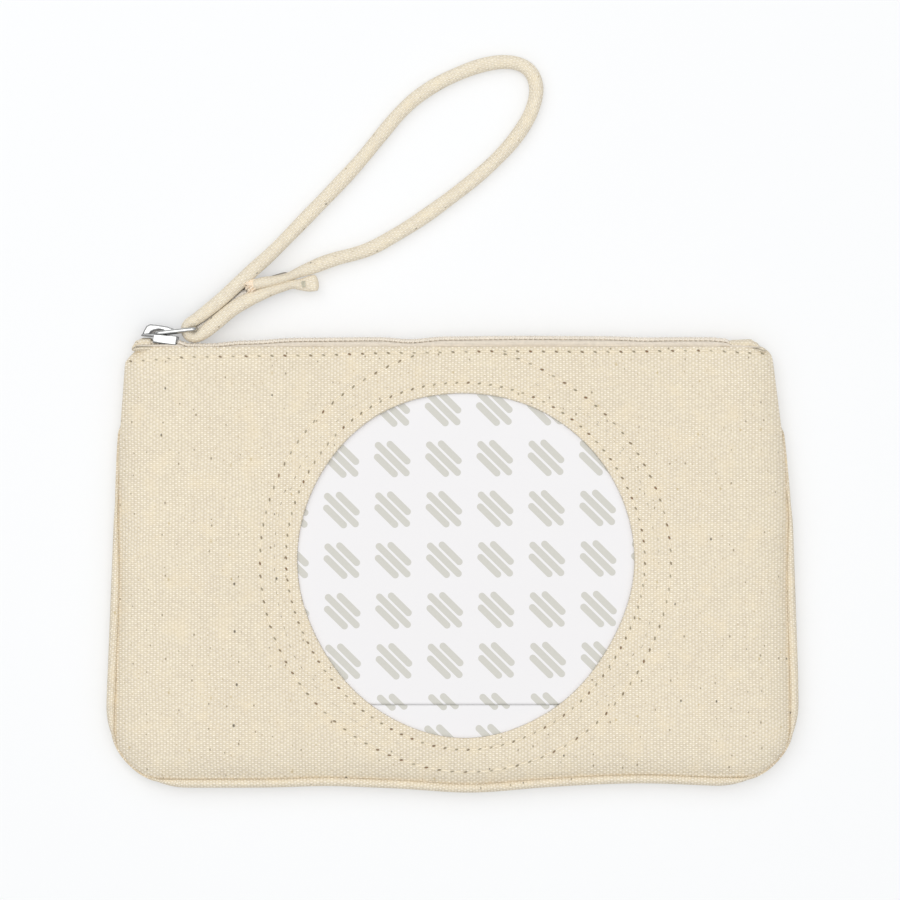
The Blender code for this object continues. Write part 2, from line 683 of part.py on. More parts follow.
def build_strap(material, thread_material, ring):
    """A fabric tube in one loop, pinched where it turns round the ring's far bar."""
    route = [Vector((x * MM, y * MM, z * MM, share)) for x, y, z, share in ROUTE_TO_RING]
    pinch = STRAP_PINCHED_RADIUS / STRAP_RADIUS
    for angle in STRAP_TURN_DEG:
        direction = math.radians(angle)
        route.append(Vector((
            RING_BAR.x + STRAP_TURN_RADIUS * math.cos(direction),
            RING_BAR.y + STRAP_TURN_RADIUS * math.sin(direction), STRAP_TURN_Z, pinch,
        )))
    route += [Vector((x * MM, y * MM, z * MM, share)) for x, y, z, share in ROUTE_FROM_RING]
    path = smooth_path(route, STRAP_STEP)
    pivot = Vector((RING_BAR.x, RING_BAR.y, STRAP_TURN_Z))
    tube(
        "wrist_strap", [point.xyz for point in path], STRAP_RADIUS, material, pivot, ring,
        radii=[point.w for point in path],
    )
    ranges = [(-size / 2, size / 2) for size in BARTACK_SIZE]
    tack = part_from_bmesh(
        "strap_bartack", box_bmesh(*ranges), thread_material, BARTACK_CENTER, ring,
    )
    bevel(tack, BARTACK_ROUNDING, 1)


def build_pouch():
    canvas_back = new_material("canvas_back", CANVAS_COLOR, 0.9)
    canvas_front = new_material("canvas_front", CANVAS_COLOR, 0.9)
    facing = new_material("facing_canvas", CANVAS_COLOR, 0.9)
    backing = new_material("backing_felt", BACKING_COLOR, 0.95)
    adhesive = new_material("adhesive_film", ADHESIVE_COLOR, 0.3)
    paper = new_material("release_paper", PAPER_COLOR, 0.35)
    thread = new_material("sewing_thread", THREAD_COLOR, 0.8)
    tape = new_material("zip_tape", TAPE_COLOR, 0.85)
    coil = new_material("zip_coil", TAPE_COLOR, 0.45)
    stop = new_material("zip_stop", NICKEL_COLOR, 0.3, 1.0)
    tab_canvas = new_material("end_tab_canvas", CANVAS_COLOR, 0.9)
    nickel = new_material("nickel", NICKEL_COLOR, 0.22, 1.0)
    spring = new_material("spring_steel", SPRING_COLOR, 0.35, 1.0)
    strap = new_material("strap_fabric", CANVAS_COLOR, 0.9)

    mouth = new_empty("mouth_hinge", HINGE)
    slider = new_empty("zip_travel", (SLIDER_X, TAPE_TOP_Y, MID_Z))
    ring = new_empty("ring_bar", RING_BAR)

    build_back_panel(canvas_back)
    build_front_panel(canvas_front, mouth)
    build_window_layers(facing, backing, adhesive, paper, mouth)
    build_threads(thread, mouth)
    build_seam_thread(thread)
    build_zip_half(1, tape, coil, stop, mouth)
    build_zip_half(-1, tape, coil, stop, None)
    build_zip_ends(tab_canvas, stop)
    build_slider(nickel, spring, slider)
    build_pull_ring(nickel, slider)
    build_pull_tab(nickel, ring)
    build_strap(strap, thread, ring)


clear_scene()
POUCH = new_collection("zippered_pouch")
CUTTERS = new_collection("cutters")
build_pouch()
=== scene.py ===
"""Visual model of the zippered canvas pouch, built round its CAD frame.

Lengths are in metres, apart from the tables whose names end in _MM, which are in millimetres.
"""

import json
import math

import bmesh
import bpy
import numpy as np
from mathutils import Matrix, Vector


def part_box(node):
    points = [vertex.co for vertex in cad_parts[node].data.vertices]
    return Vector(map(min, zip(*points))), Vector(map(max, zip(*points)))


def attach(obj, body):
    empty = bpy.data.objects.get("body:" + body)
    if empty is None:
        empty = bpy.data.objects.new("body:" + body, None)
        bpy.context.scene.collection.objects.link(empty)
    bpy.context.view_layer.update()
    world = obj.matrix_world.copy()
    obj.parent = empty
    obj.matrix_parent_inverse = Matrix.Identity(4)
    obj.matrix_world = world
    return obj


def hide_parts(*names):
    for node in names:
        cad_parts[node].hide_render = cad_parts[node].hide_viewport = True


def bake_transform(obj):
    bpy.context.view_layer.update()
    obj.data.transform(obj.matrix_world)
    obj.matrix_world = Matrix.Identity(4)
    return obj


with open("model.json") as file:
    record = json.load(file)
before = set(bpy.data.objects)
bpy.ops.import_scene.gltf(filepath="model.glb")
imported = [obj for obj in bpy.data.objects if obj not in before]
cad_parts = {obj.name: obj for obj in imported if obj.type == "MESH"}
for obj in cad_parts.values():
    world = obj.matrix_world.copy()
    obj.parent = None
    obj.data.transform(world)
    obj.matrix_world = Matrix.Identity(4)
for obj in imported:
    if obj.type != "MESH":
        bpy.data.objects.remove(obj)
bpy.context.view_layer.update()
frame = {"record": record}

MM = 0.001

# ---------------------------------------------------------------- places read from the frame

PAPER_LOW, PAPER_HIGH = (np.array(corner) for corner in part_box("release_paper_upper"))
COIL_LOW, COIL_HIGH = (np.array(corner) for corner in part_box("zipper_coil_front"))
TAPE_LOW, TAPE_HIGH = (np.array(corner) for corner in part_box("zipper_tape_front"))
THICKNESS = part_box("front_panel")[1][2]
MID_Z = (TAPE_HIGH[2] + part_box("zipper_tape_back")[0][2]) / 2
WINDOW_X = (PAPER_LOW[0] + PAPER_HIGH[0]) / 2
WINDOW_Y = PAPER_HIGH[1] - (PAPER_HIGH[0] - PAPER_LOW[0]) / 2
SLIT_Y = (PAPER_LOW[1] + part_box("release_paper_lower")[1][1]) / 2
JOINTS = {joint["name"]: joint for joint in frame["record"]["behaviour"]["joints"]}
RING_BAR = np.array(JOINTS["strap_swing"]["pos_m"])

# ---------------------------------------------------------------- driving sizes

SIDE_TOP = 60 * MM
CANVAS = 0.75 * MM
# Radius of the folds along the top, height of the seam round the front, and the rim's full width.
FOLD = 0.8 * MM
SEAM_Z = 5.7 * MM
RIM = 2.6 * MM
# How far in from the outline the underside is flat, and the height in millimetres at which the
# back's edge meets the front where no rim shows.
FLAT_FROM = 13 * MM
SHUT_SEAM_MM = 5.4
# One yarn crossing of the weave, across and along.
YARN = (0.95 * MM, 0.59 * MM)
STRAP_YARN = (0.59 * MM, 0.95 * MM)

# The pouch's outline: corners and the radius of each.
OUTLINE_MM = [
    (-105.2, -66.3, 24.6),
    (104.4, -66.2, 25.4),
    (103.7, -30.0, 60.0),
    (102.2, 14.0, 70.0),
    (95.6, 66.2, 4.6),
    (-94.4, 66.2, 2.0),
    (-98.5, 61.8, 2.5),
    (-102.0, 14.0, 90.0),
]

# Hand-guided lines round the window: radius in millimetres at each hour of the clock, from 12.
WINDOW_EDGE_MM = (50.9, 50.9, 50.8, 50.6, 49.6, 50.9, 52.3, 51.1, 49.8, 50.3, 50.8, 51.5)
INNER_STITCH_MM = (54.1, 53.7, 53.5, 53.8, 53.0, 54.4, 55.9, 54.0, 52.8, 53.7, 54.3, 54.7)
OUTER_STITCH_MM = (64.6, 61.6, 61.2, 61.6, 61.0, 62.3, 62.7, 61.6, 61.3, 61.5, 61.8, 62.7)
INNER_STITCHES = 101
OUTER_STITCHES = 100
TOP_STITCH = 3.87 * MM

# Top stitching: hand-guided, so it wanders closer to the fold towards the right.
TOP_STITCH_MM = [(-98, 61.9), (-76, 63.1), (-46, 63.5), (-16, 64.3), (14, 64.8), (44, 64.6),
                 (74, 65.0), (93, 64.2)]

# How far the zip stands above its straight line, along its length.
ZIP_WAVE_MM = [(-99, -0.9), (-96, -0.3), (-83, -0.3), (-79, -1.3), (-74, -1.4), (-62, -0.5),
               (-46, 0.3), (-22, 0.5), (-13, -0.1), (-2, 0.7), (20, 0.9), (44, 0.8), (59, 0.4),
               (66, 0.5), (77, 0.5), (81, 0.2), (84, -0.6), (95, -0.9)]

# The strap's route: x, y, height of the centre line, half its width, half its height.
STRAP_TO_RING_MM = [
    (-59.6, 84.9, 5.2, 1.55, 1.9), (-57.0, 85.6, 5.0, 1.65, 1.8), (-54.0, 86.1, 4.8, 1.5, 1.9),
    (-51.3, 86.7, 4.6, 1.35, 1.9), (-48.9, 87.55, 4.4, 1.35, 1.9), (-45.9, 88.85, 4.1, 1.6, 1.9),
    (-42.3, 90.2, 3.8, 1.95, 2.0), (-39.0, 91.5, 3.5, 2.1, 2.1), (-34.9, 92.9, 3.1, 2.1, 2.1),
    (-26.4, 95.3, 2.5, 2.1, 2.1), (-19.2, 98.9, 2.3, 2.1, 2.1), (-7.9, 106.0, 2.2, 2.1, 2.1),
    (6.4, 116.8, 2.2, 2.1, 2.1), (15.1, 124.9, 2.2, 2.1, 2.1), (20.3, 131.3, 2.2, 2.1, 2.1),
    (23.8, 137.7, 2.2, 2.1, 2.1), (25.1, 144.2, 2.2, 2.1, 2.1), (23.2, 149.3, 2.2, 2.1, 2.1),
    (18.6, 151.8, 2.2, 2.15, 2.1), (12.0, 151.8, 2.2, 2.15, 2.1), (3.4, 149.3, 2.2, 2.1, 2.1),
    (-7.1, 144.1, 2.2, 2.05, 2.1), (-16.1, 136.6, 2.2, 2.1, 2.1), (-29.4, 120.7, 2.3, 2.1, 2.1),
    (-44.6, 104.7, 3.0, 2.1, 2.1), (-54.1, 94.9, 4.2, 2.1, 2.1), (-60.0, 89.5, 4.9, 2.1, 2.1),
    (-64.7, 85.1, 5.3, 2.1, 2.1), (-69.3, 80.8, 5.6, 2.0, 2.1), (-73.9, 77.0, 6.0, 1.95, 2.1),
    (-77.4, 74.4, 6.2, 1.85, 2.1),
]
STRAP_FROM_RING_MM = [
    (-74.7, 70.6, 6.2, 2.0, 2.1), (-71.2, 73.5, 6.0, 2.25, 2.1), (-66.2, 77.6, 5.7, 2.2, 2.1),
    (-61.9, 80.2, 5.3, 2.1, 2.1), (-58.8, 81.5, 5.1, 1.8, 2.0), (-56.4, 82.45, 4.9, 1.65, 1.9),
    (-53.7, 83.4, 4.7, 1.45, 1.9), (-51.0, 84.25, 4.5, 1.35, 1.9), (-48.3, 85.05, 4.3, 1.35, 1.8),
    (-45.9, 85.0, 4.1, 1.7, 1.6), (-43.5, 85.2, 3.9, 2.3, 1.35), (-41.3, 85.6, 3.8, 2.5, 1.2),
]
STRAP_RADIUS = 2.1 * MM
STRAP_TURN_RADIUS = 2.35 * MM
STRAP_TURN_Z = 6.3 * MM
STRAP_TURN_DEG = (140, 180, 220, 260, 295)
STRAP_TURN_HALF_WIDTH = 1.75 * MM

# The label for a piece sewn between the back and the opening front.
MOUTH = "mouth"

# Colours of the cloths, and the shift that gives the back other yarns and flecks than the front.
CREAM = (0.945, 0.855, 0.712)
STRAP_CREAM = (0.965, 0.880, 0.735)
TAPE_CREAM = (0.80, 0.715, 0.60)
BACK_CLOTH_SHIFT = [0.31, 0.17]

# ---------------------------------------------------------------- material building

class Shader:
    """A small hand for drawing node materials: each method returns the socket it makes."""

    def __init__(self, name):
        self.material = bpy.data.materials.new(name)
        self.material.use_nodes = True
        self.nodes = self.material.node_tree.nodes
        self.links = self.material.node_tree.links
        self.principled = self.nodes["Principled BSDF"]

    def feed(self, socket, value):
        if isinstance(value, bpy.types.NodeSocket):
            self.links.new(value, socket)
        elif isinstance(value, (tuple, list)) and len(value) == 3 and len(socket.default_value) == 4:
            socket.default_value = (*value, 1.0)
        else:
            socket.default_value = value

    def node(self, kind, output=0, settings=None, **inputs):
        made = self.nodes.new("ShaderNode" + kind)
        for key, value in (settings or {}).items():
            setattr(made, key, value)
        for key, value in inputs.items():
            self.feed(made.inputs[key.replace("_", " ")], value)
        return made.outputs[output]

    def math(self, operation, first, second=0.0, third=0.0, clamp=False):
        made = self.nodes.new("ShaderNodeMath")
        made.operation = operation
        made.use_clamp = clamp
        for socket, value in zip(made.inputs, (first, second, third)):
            self.feed(socket, value)
        return made.outputs[0]

    def mul(self, first, second):
        return self.math("MULTIPLY", first, second)

    def add(self, first, second):
        return self.math("ADD", first, second)

    def sub(self, first, second):
        return self.math("SUBTRACT", first, second)

    def length(self, x, y):
        return self.math("SQRT", self.add(self.mul(x, x), self.mul(y, y)))

    def tint(self, base, shade):
        return self.mix(1.0, base, self.join(shade, shade, shade), "MULTIPLY")

    def stretch(self, vector, x, y, z=1.0):
        return self.vector("MULTIPLY", vector, (x, y, z))

    def vector(self, operation, first, second=(0, 0, 0), scale=None):
        made = self.nodes.new("ShaderNodeVectorMath")
        made.operation = operation
        self.feed(made.inputs[0], first)
        self.feed(made.inputs[1], second)
        if scale is not None:
            self.feed(made.inputs["Scale"], scale)
        return made.outputs[0]

    def split(self, vector):
        made = self.nodes.new("ShaderNodeSeparateXYZ")
        self.feed(made.inputs[0], vector)
        return made.outputs[0], made.outputs[1], made.outputs[2]

    def join(self, x, y, z=0.0):
        made = self.nodes.new("ShaderNodeCombineXYZ")
        for socket, value in zip(made.inputs, (x, y, z)):
            self.feed(socket, value)
        return made.outputs[0]

    def mix(self, share, first, second, blend="MIX"):
        made = self.nodes.new("ShaderNodeMix")
        made.data_type = "RGBA"
        made.blend_type = blend
        self.feed(made.inputs["Factor"], share)
        self.feed(made.inputs[6], first)
        self.feed(made.inputs[7], second)
        return made.outputs[2]

    def remap(self, value, low, high, to_low=0.0, to_high=1.0, smooth=False):
        made = self.nodes.new("ShaderNodeMapRange")
        made.interpolation_type = "SMOOTHSTEP" if smooth else "LINEAR"
        for socket, number in zip(made.inputs, (value, low, high, to_low, to_high)):
            self.feed(socket, number)
        return made.outputs[0]

    def noise(self, vector, scale, detail=2.0, output=0):
        return self.node("TexNoise", output, Vector=vector, Scale=scale, Detail=detail)

    def uv(self, name="cloth"):
        return self.node("UVMap", settings={"uv_map": name})

    def bump(self, height):
        return self.node("Bump", Strength=1.0, Distance=1.0, Height=height)

    def finish(self, color, roughness, normal=None, **uniform):
        self.feed(self.principled.inputs["Base Color"], color)
        self.feed(self.principled.inputs["Roughness"], roughness)
        if normal:
            self.feed(self.principled.inputs["Normal"], normal)
        for key, value in uniform.items():
            self.feed(self.principled.inputs[key.replace("_", " ")], value)
        return self.material


def weave_height(s, uv, yarn):
    """Plain weave: raised warp crossings in a checkerboard, with the weft showing low between."""
    wander = s.vector("SCALE", s.noise(uv, 0.04 / yarn[1], 1.0, output=1), scale=1.3)
    u, v, _ = s.split(s.vector("ADD", s.stretch(uv, 1 / yarn[0], 1 / yarn[1]), wander))
    across = s.math("SINE", s.mul(u, math.pi))
    wave = s.mul(across, s.math("SINE", s.mul(v, math.pi)))
    raised = s.math("MAXIMUM", wave, s.mul(wave, -0.25))
    return s.math("MULTIPLY_ADD", raised, 0.92, s.mul(s.math("ABSOLUTE", across), 0.08))


def cotton(s, uv, yarn, base, fleck_share=1.0, contrast=1.0):
    """Unbleached cotton colour with uneven yarns and seed flecks, painted shade in the gaps between
    yarn crossings and a painted highlight on them. Returns colour, height.
    """
    height = weave_height(s, uv, yarn)
    slub_u = s.noise(s.stretch(uv, 0.8 / yarn[0], 0.05 / yarn[1]), 1.0, 2.0)
    slub_v = s.noise(s.stretch(uv, 0.05 / yarn[0], 0.8 / yarn[1]), 1.0, 2.0)
    shade = s.add(s.remap(slub_u, 0.3, 0.7, 0.475, 0.515), s.remap(slub_v, 0.3, 0.7, 0.475, 0.515))
    cloud = s.remap(s.noise(uv, 24.0, 3.0), 0.3, 0.7, 0.985, 1.01)
    # Painted shade in the low gaps of the weave and a painted highlight on the raised yarn crossings;
    # the gaps are also painted warmer.
    painted_weave_shade = s.remap(height, 0.10, 0.80, 1 - 0.20 * contrast, 1 + 0.06 * contrast)
    patch = s.vector("FLOOR", s.stretch(uv, 1 / yarn[0], 1 / yarn[1]))
    lone = s.node("TexWhiteNoise", 0, {"noise_dimensions": "2D"}, Vector=patch)
    shade = s.mul(shade, s.remap(lone, 0.0, 1.0, 0.95, 1.045))
    shade = s.mul(s.mul(shade, cloud), painted_weave_shade)
    blue_tone_and_shade = s.mul(shade, s.math("POWER", painted_weave_shade, 0.35))
    color = s.mix(1.0, base, s.join(s.math("POWER", shade, 0.88), shade, blue_tone_and_shade), "MULTIPLY")
    warm = s.remap(s.noise(uv, 140.0, 3.0), 0.52, 0.72, 0.0, 0.30)
    color = s.mix(warm, color, (base[0] * 0.96, base[1] * 0.90, base[2] * 0.76))
    for cell, size, keep, tint, strength in (
        (2.3 * MM, 0.24 * MM, 0.24, (0.46, 0.34, 0.18), 0.60),
        (4.6 * MM, 0.30 * MM, 0.30, (0.20, 0.14, 0.07), 0.80),
        (6.1 * MM, 0.40 * MM, 0.14, (0.50, 0.36, 0.12), 0.55),
        (11.0 * MM, 0.40 * MM, 0.22, (0.05, 0.035, 0.02), 0.95),
    ):
        dots = s.nodes.new("ShaderNodeTexVoronoi")
        dots.voronoi_dimensions = "2D"
        dots.inputs["Scale"].default_value = 1.0 / cell
        s.feed(dots.inputs["Vector"], s.stretch(uv, 1.0, 0.7))
        chance, softness, _ = s.split(dots.outputs["Color"])
        reach = s.mul(s.math("MULTIPLY_ADD", softness, 0.6, 0.55), size / cell)
        near = s.math("SUBTRACT", 1.0, s.math("DIVIDE", dots.outputs["Distance"], reach), clamp=True)
        near = s.math("POWER", near, 0.5)
        there = s.math("LESS_THAN", chance, keep * fleck_share)
        share = s.mul(s.mul(near, there), strength)
        color = s.mix(share, color, tint)
    return color, height


def needle_marks(s, away, turns, pitch):
    """Short slanting shadows where the thread goes into the cloth: mask and groove mask."""
    place = s.sub(s.math("FRACT", s.add(turns, 0.5)), 0.5)
    number = s.math("FLOOR", s.add(turns, 0.5))
    chance = s.node("TexWhiteNoise", 0, {"noise_dimensions": "1D"}, W=number)
    along = s.mul(place, pitch)
    across = s.add(away, s.mul(along, 0.28))
    along = s.math("DIVIDE", along, 0.64 * MM)
    across = s.math("DIVIDE", across, s.math("MULTIPLY_ADD", chance, 0.12 * MM, 0.27 * MM))
    reach = s.length(along, across)
    strength = s.remap(chance, 0.0, 1.0, 0.45, 1.0)
    mark = s.mul(s.remap(reach, 0.45, 1.0, 1.0, 0.0, True), strength)
    groove = s.remap(s.math("ABSOLUTE", away), 0.1 * MM, 0.9 * MM, 1.0, 0.0, True)
    return mark, groove, chance


def stitch_marks(s):
    """The three stitched lines, from each point's distance to them stored beside the cloth UV."""
    x, y, _ = s.split(s.uv())
    ring_away, row_away, _ = s.split(s.uv("stitch_lines"))
    x_mid, y_mid = s.sub(x, WINDOW_X), s.sub(y, WINDOW_Y)
    radius = s.length(x_mid, y_mid)
    outer = s.math("GREATER_THAN", radius, STITCH_DIVIDE)
    count = s.math("MULTIPLY_ADD", outer, OUTER_STITCHES - INNER_STITCHES, INNER_STITCHES)
    turns = s.mul(s.math("ARCTAN2", y_mid, x_mid), s.math("DIVIDE", count, 2 * math.pi))
    ring, ring_groove, ring_chance = needle_marks(s, ring_away, turns, 3.6 * MM)
    under_row = s.math("LESS_THAN", row_away, -0.2 * MM)
    kept = s.math("MAXIMUM", under_row, s.sub(1.0, outer))
    ring = s.mul(ring, kept)
    ring_groove = s.mul(ring_groove, kept)
    row, row_groove, row_chance = needle_marks(s, row_away, s.math("DIVIDE", x, TOP_STITCH), TOP_STITCH)
    in_row = s.math("LESS_THAN", s.math("ABSOLUTE", row_away), 1.5 * MM)
    chance = s.add(s.mul(row_chance, in_row), s.mul(ring_chance, s.sub(1.0, in_row)))
    return s.math("MAXIMUM", ring, row), s.math("MAXIMUM", ring_groove, row_groove), chance


def canvas_material(name, stitched):
    s = Shader(name)
    uv = s.uv()
    color, height = cotton(s, uv, YARN, CREAM, contrast=1.3)
    height = s.add(s.mul(height, 0.17 * MM), s.mul(s.noise(uv, 3600.0, 2.0), 0.05 * MM))
    if stitched:
        mark, groove, chance = stitch_marks(s)
        # Painted shadow in the needle holes, and painted shade along the stitch grooves.
        hole = s.mix(s.remap(chance, 0.45, 0.95), (0.13, 0.10, 0.03), (0.24, 0.11, 0.04))
        color = s.mix(s.mul(groove, 0.14), color, (0.66, 0.54, 0.34))
        color = s.mix(s.mul(mark, 0.92), color, hole)
        height = s.sub(height, s.mul(mark, 0.30 * MM))
    return s.finish(color, 0.88, s.bump(height), Sheen_Weight=0.12, Sheen_Roughness=0.6,
                    Specular_IOR_Level=0.2)


def plain_material(name, base, roughness, grain=0.0, grain_scale=2000.0):
    s = Shader(name)
    where = s.node("TexCoord", 3)
    color = s.tint(base, s.remap(s.noise(where, grain_scale / 12, 3.0), 0.3, 0.7, 0.94, 1.03))
    rough = s.remap(s.noise(where, grain_scale / 3, 3.0), 0.3, 0.7, roughness * 0.85, roughness * 1.15)
    normal = s.bump(s.mul(s.noise(where, grain_scale, 2.0), grain)) if grain else None
    return s.finish(color, rough, normal)


def metal_material(name, base, roughness):
    """Nickel plate: slightly uneven polish with faint rubbed patches."""
    s = Shader(name)
    where = s.node("TexCoord", 3)
    scuffs = s.noise(s.vector("MULTIPLY", where, (500.0, 2600.0, 500.0)), 1.0, 3.0)
    patches = s.noise(where, 420.0, 3.0)
    polish = s.remap(patches, 0.35, 0.7, roughness * 0.8, roughness * 1.3)
    rough = s.add(polish, s.remap(scuffs, 0.58, 0.8, 0.0, 0.08))
    return s.finish(s.tint(base, s.remap(patches, 0.35, 0.7, 1.0, 0.93)), rough, Metallic=1.0)


def strap_material(name):
    s = Shader(name)
    uv = s.uv()
    color, height = cotton(s, uv, STRAP_YARN, STRAP_CREAM, fleck_share=0.8, contrast=1.0)
    height = s.add(s.mul(height, 0.20 * MM), s.mul(s.noise(uv, 4500.0, 2.0), 0.05 * MM))
    return s.finish(color, 0.9, s.bump(height), Sheen_Weight=0.15, Sheen_Roughness=0.6,
                    Specular_IOR_Level=0.2)


def tape_material(name):
    """Woven zip tape: fine ribs along its length."""
    s = Shader(name)
    uv = s.uv()
    u, v, _ = s.split(uv)
    ribs = s.math("ABSOLUTE", s.math("SINE", s.mul(v, math.pi / (0.42 * MM))))
    picks = s.math("ABSOLUTE", s.math("SINE", s.mul(u, math.pi / (0.30 * MM))))
    height = s.mul(s.math("MULTIPLY_ADD", picks, 0.4, ribs), 0.07 * MM)
    cloud = s.remap(s.noise(uv, 700.0, 3.0), 0.3, 0.7, 0.92, 1.05)
    # Darker between the ribs: painted shade in the rib grooves.
    cloud = s.mul(cloud, s.remap(ribs, 0.0, 0.7, 0.84, 1.0))
    color = s.tint(TAPE_CREAM, cloud)
    return s.finish(color, 0.85, s.bump(height), Specular_IOR_Level=0.25)


def paper_material(name):
    """Coated release paper with a pale printed lattice of slanting bars."""
    s = Shader(name)
    uv = s.uv()
    column, row = 15.36 * MM, 15.15 * MM
    lean = 0.0085
    u, v, _ = s.split(uv)
    x = s.math("MULTIPLY_ADD", v, lean, u)
    y = s.math("MULTIPLY_ADD", u, -lean, v)
    x = s.math("DIVIDE", s.sub(x, WINDOW_X + 1.4 * MM), column)
    y = s.math("DIVIDE", s.sub(y, WINDOW_Y - 6.5 * MM), row)
    cell_x = s.mul(s.sub(s.math("FRACT", x), 0.5), column)
    cell_y = s.mul(s.sub(s.math("FRACT", y), 0.5), row)
    turn = math.radians(-45)
    along = s.add(s.mul(cell_x, math.cos(turn)), s.mul(cell_y, math.sin(turn)))
    across = s.sub(s.mul(cell_y, math.cos(turn)), s.mul(cell_x, math.sin(turn)))
    mark = 0.0
    for offset, half_length in ((-2.7 * MM, 3.6 * MM), (0.0, 5.9 * MM), (2.7 * MM, 3.6 * MM)):
        beyond = s.math("MAXIMUM", s.sub(s.math("ABSOLUTE", along), half_length), 0.0)
        aside = s.sub(across, offset)
        reach = s.length(beyond, aside)
        bar = s.remap(reach, 0.98 * MM, 1.06 * MM, 1.0, 0.0, True)
        mark = s.math("MAXIMUM", bar, mark)
    ink = s.remap(s.noise(uv, 1400.0, 3.0), 0.3, 0.7, 0.92, 1.0)
    color = s.mix(s.mul(mark, ink), (0.800, 0.783, 0.785), (0.575, 0.560, 0.505))
    waves = s.mul(s.noise(uv, 60.0, 2.0), 0.25 * MM)
    fibres = s.mul(s.noise(uv, 2600.0, 2.0), 0.008 * MM)
    return s.finish(color, 0.42, s.bump(s.add(waves, fibres)), Specular_IOR_Level=0.35)


def frayed_material(name):
    s = Shader(name)
    where = s.node("TexCoord", 3)
    tone = s.noise(where, 1800.0, 3.0)
    color = s.mix(tone, (0.90, 0.70, 0.50), (0.98, 0.90, 0.76))
    return s.finish(color, 0.95, Sheen_Weight=0.2)


# ---------------------------------------------------------------- mesh building

def add_object(name, mesh, material):
    obj = bpy.data.objects.new(name, mesh)
    bpy.context.scene.collection.objects.link(obj)
    mesh.materials.append(material)
    mesh.shade_smooth()
    return obj


def quads(rows, columns, wrap, base=0):
    """Four-sided faces between rows of points numbered from base; wrap joins each row's ends."""
    index = base + np.arange(rows * columns).reshape(rows, columns)
    ahead = np.roll(index, -1, axis=1)
    faces = np.stack([index[:-1], ahead[:-1], ahead[1:], index[1:]], axis=-1)
    return faces[:, :columns if wrap else columns - 1].reshape(-1, 4).tolist()


def grid_object(name, points, uvs, material, wrap=False, cap_last=False):
    """A sheet from rows of points (rows, columns, 3), with a cloth UV given in metres."""
    rows, columns, _ = points.shape
    faces = quads(rows, columns, wrap)
    if cap_last:
        faces.append(list(range((rows - 1) * columns, rows * columns)))
    mesh = bpy.data.meshes.new(name)
    mesh.from_pydata(points.reshape(-1, 3).tolist(), [], faces)
    set_uv(mesh, uvs.reshape(-1, 2))
    return add_object(name, mesh, material)


def set_uv(mesh, per_vertex, name="cloth"):
    layer = mesh.uv_layers.new(name=name)
    corners = np.empty(len(mesh.loops), dtype=np.int32)
    mesh.loops.foreach_get("vertex_index", corners)
    layer.data.foreach_set("uv", per_vertex[corners].astype(np.float32).ravel())


def apply_modifiers(obj):
    graph = bpy.context.evaluated_depsgraph_get()
    mesh = bpy.data.meshes.new_from_object(obj.evaluated_get(graph), depsgraph=graph)
    obj.modifiers.clear()
    obj.data = mesh
    return obj


def thicken(obj, thickness, offset=-1.0):
    modifier = obj.modifiers.new("Solidify", "SOLIDIFY")
    modifier.thickness = thickness
    modifier.offset = offset
    return apply_modifiers(obj)


def stands_for(obj, nodes, body):
    """Which CAD parts a piece replaces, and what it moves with."""
    if nodes:
        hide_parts(nodes)
    if body == MOUTH:
        opens_with_mouth(obj)
    else:
        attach(obj, body)


def around(count):
    return np.linspace(0, 2 * math.pi, count, endpoint=False)


def unit(vectors):
    return vectors / np.linalg.norm(vectors, axis=-1, keepdims=True)


def squared_off(wave, power):
    """A sine or cosine with flatter shoulders the lower the power."""
    return np.sign(wave) * np.abs(wave) ** power


def spline(p0, p1, p2, p3, t):
    """Catmull-Rom: the smooth curve from p1 to p2, with their neighbours, at t from 0 to 1."""
    return 0.5 * (2 * p1 + (p2 - p0) * t + (2 * p0 - 5 * p1 + 4 * p2 - p3) * t * t
                  + (3 * p1 - p0 - 3 * p2 + p3) * t ** 3)


def window_ring(angle, radius):
    """Points at these angles and distances from the window's middle."""
    return np.stack([WINDOW_X + radius * np.cos(angle), WINDOW_Y + radius * np.sin(angle)], axis=-1)


def smoothstep(value, low, high):
    t = np.clip((np.asarray(value, float) - low) / (high - low), 0, 1)
    return t * t * (3 - 2 * t)


def along_table(x, table):
    """Smooth value at x of a short table of (x, value), all in millimetres."""
    xs = np.array([row[0] for row in table], float)
    ys = np.array([row[1] for row in table], float)
    place = np.clip(np.searchsorted(xs, x) - 1, 0, len(xs) - 2)
    t = np.clip((x - xs[place]) / (xs[place + 1] - xs[place]), 0, 1)
    t = t * t * (3 - 2 * t)
    return ys[place] * (1 - t) + ys[place + 1] * t


def rounded_polygon(corners, spacing):
    """Closed outline with filleted corners, resampled evenly. Corners are (x, y, radius)."""
    count = len(corners)
    path = []
    for i in range(count):
        here = np.array(corners[i][:2], float)
        before = np.array(corners[i - 1][:2], float)
        after = np.array(corners[(i + 1) % count][:2], float)
        to_before, to_after = unit(before - here), unit(after - here)
        half = math.acos(np.clip(to_before @ to_after, -1, 1)) / 2
        reach = corners[i][2] / math.tan(half)
        start, end = here + to_before * reach, here + to_after * reach
        center = here + unit(to_before + to_after) * corners[i][2] / math.sin(half)
        a0 = math.atan2(*(start - center)[::-1])
        a1 = math.atan2(*(end - center)[::-1])
        sweep = (a1 - a0 + math.pi) % (2 * math.pi) - math.pi
        for a in np.linspace(a0, a0 + sweep, 25):
            path.append(center + corners[i][2] * np.array([math.cos(a), math.sin(a)]))
    path = np.array(path)
    closed = np.vstack([path, path[:1]])
    length = np.r_[0, np.cumsum(np.linalg.norm(np.diff(closed, axis=0), axis=1))]
    samples = int(round(length[-1] / spacing))
    at = np.linspace(0, length[-1], samples, endpoint=False)
    return np.stack([np.interp(at, length, closed[:, k]) for k in range(2)], axis=1)


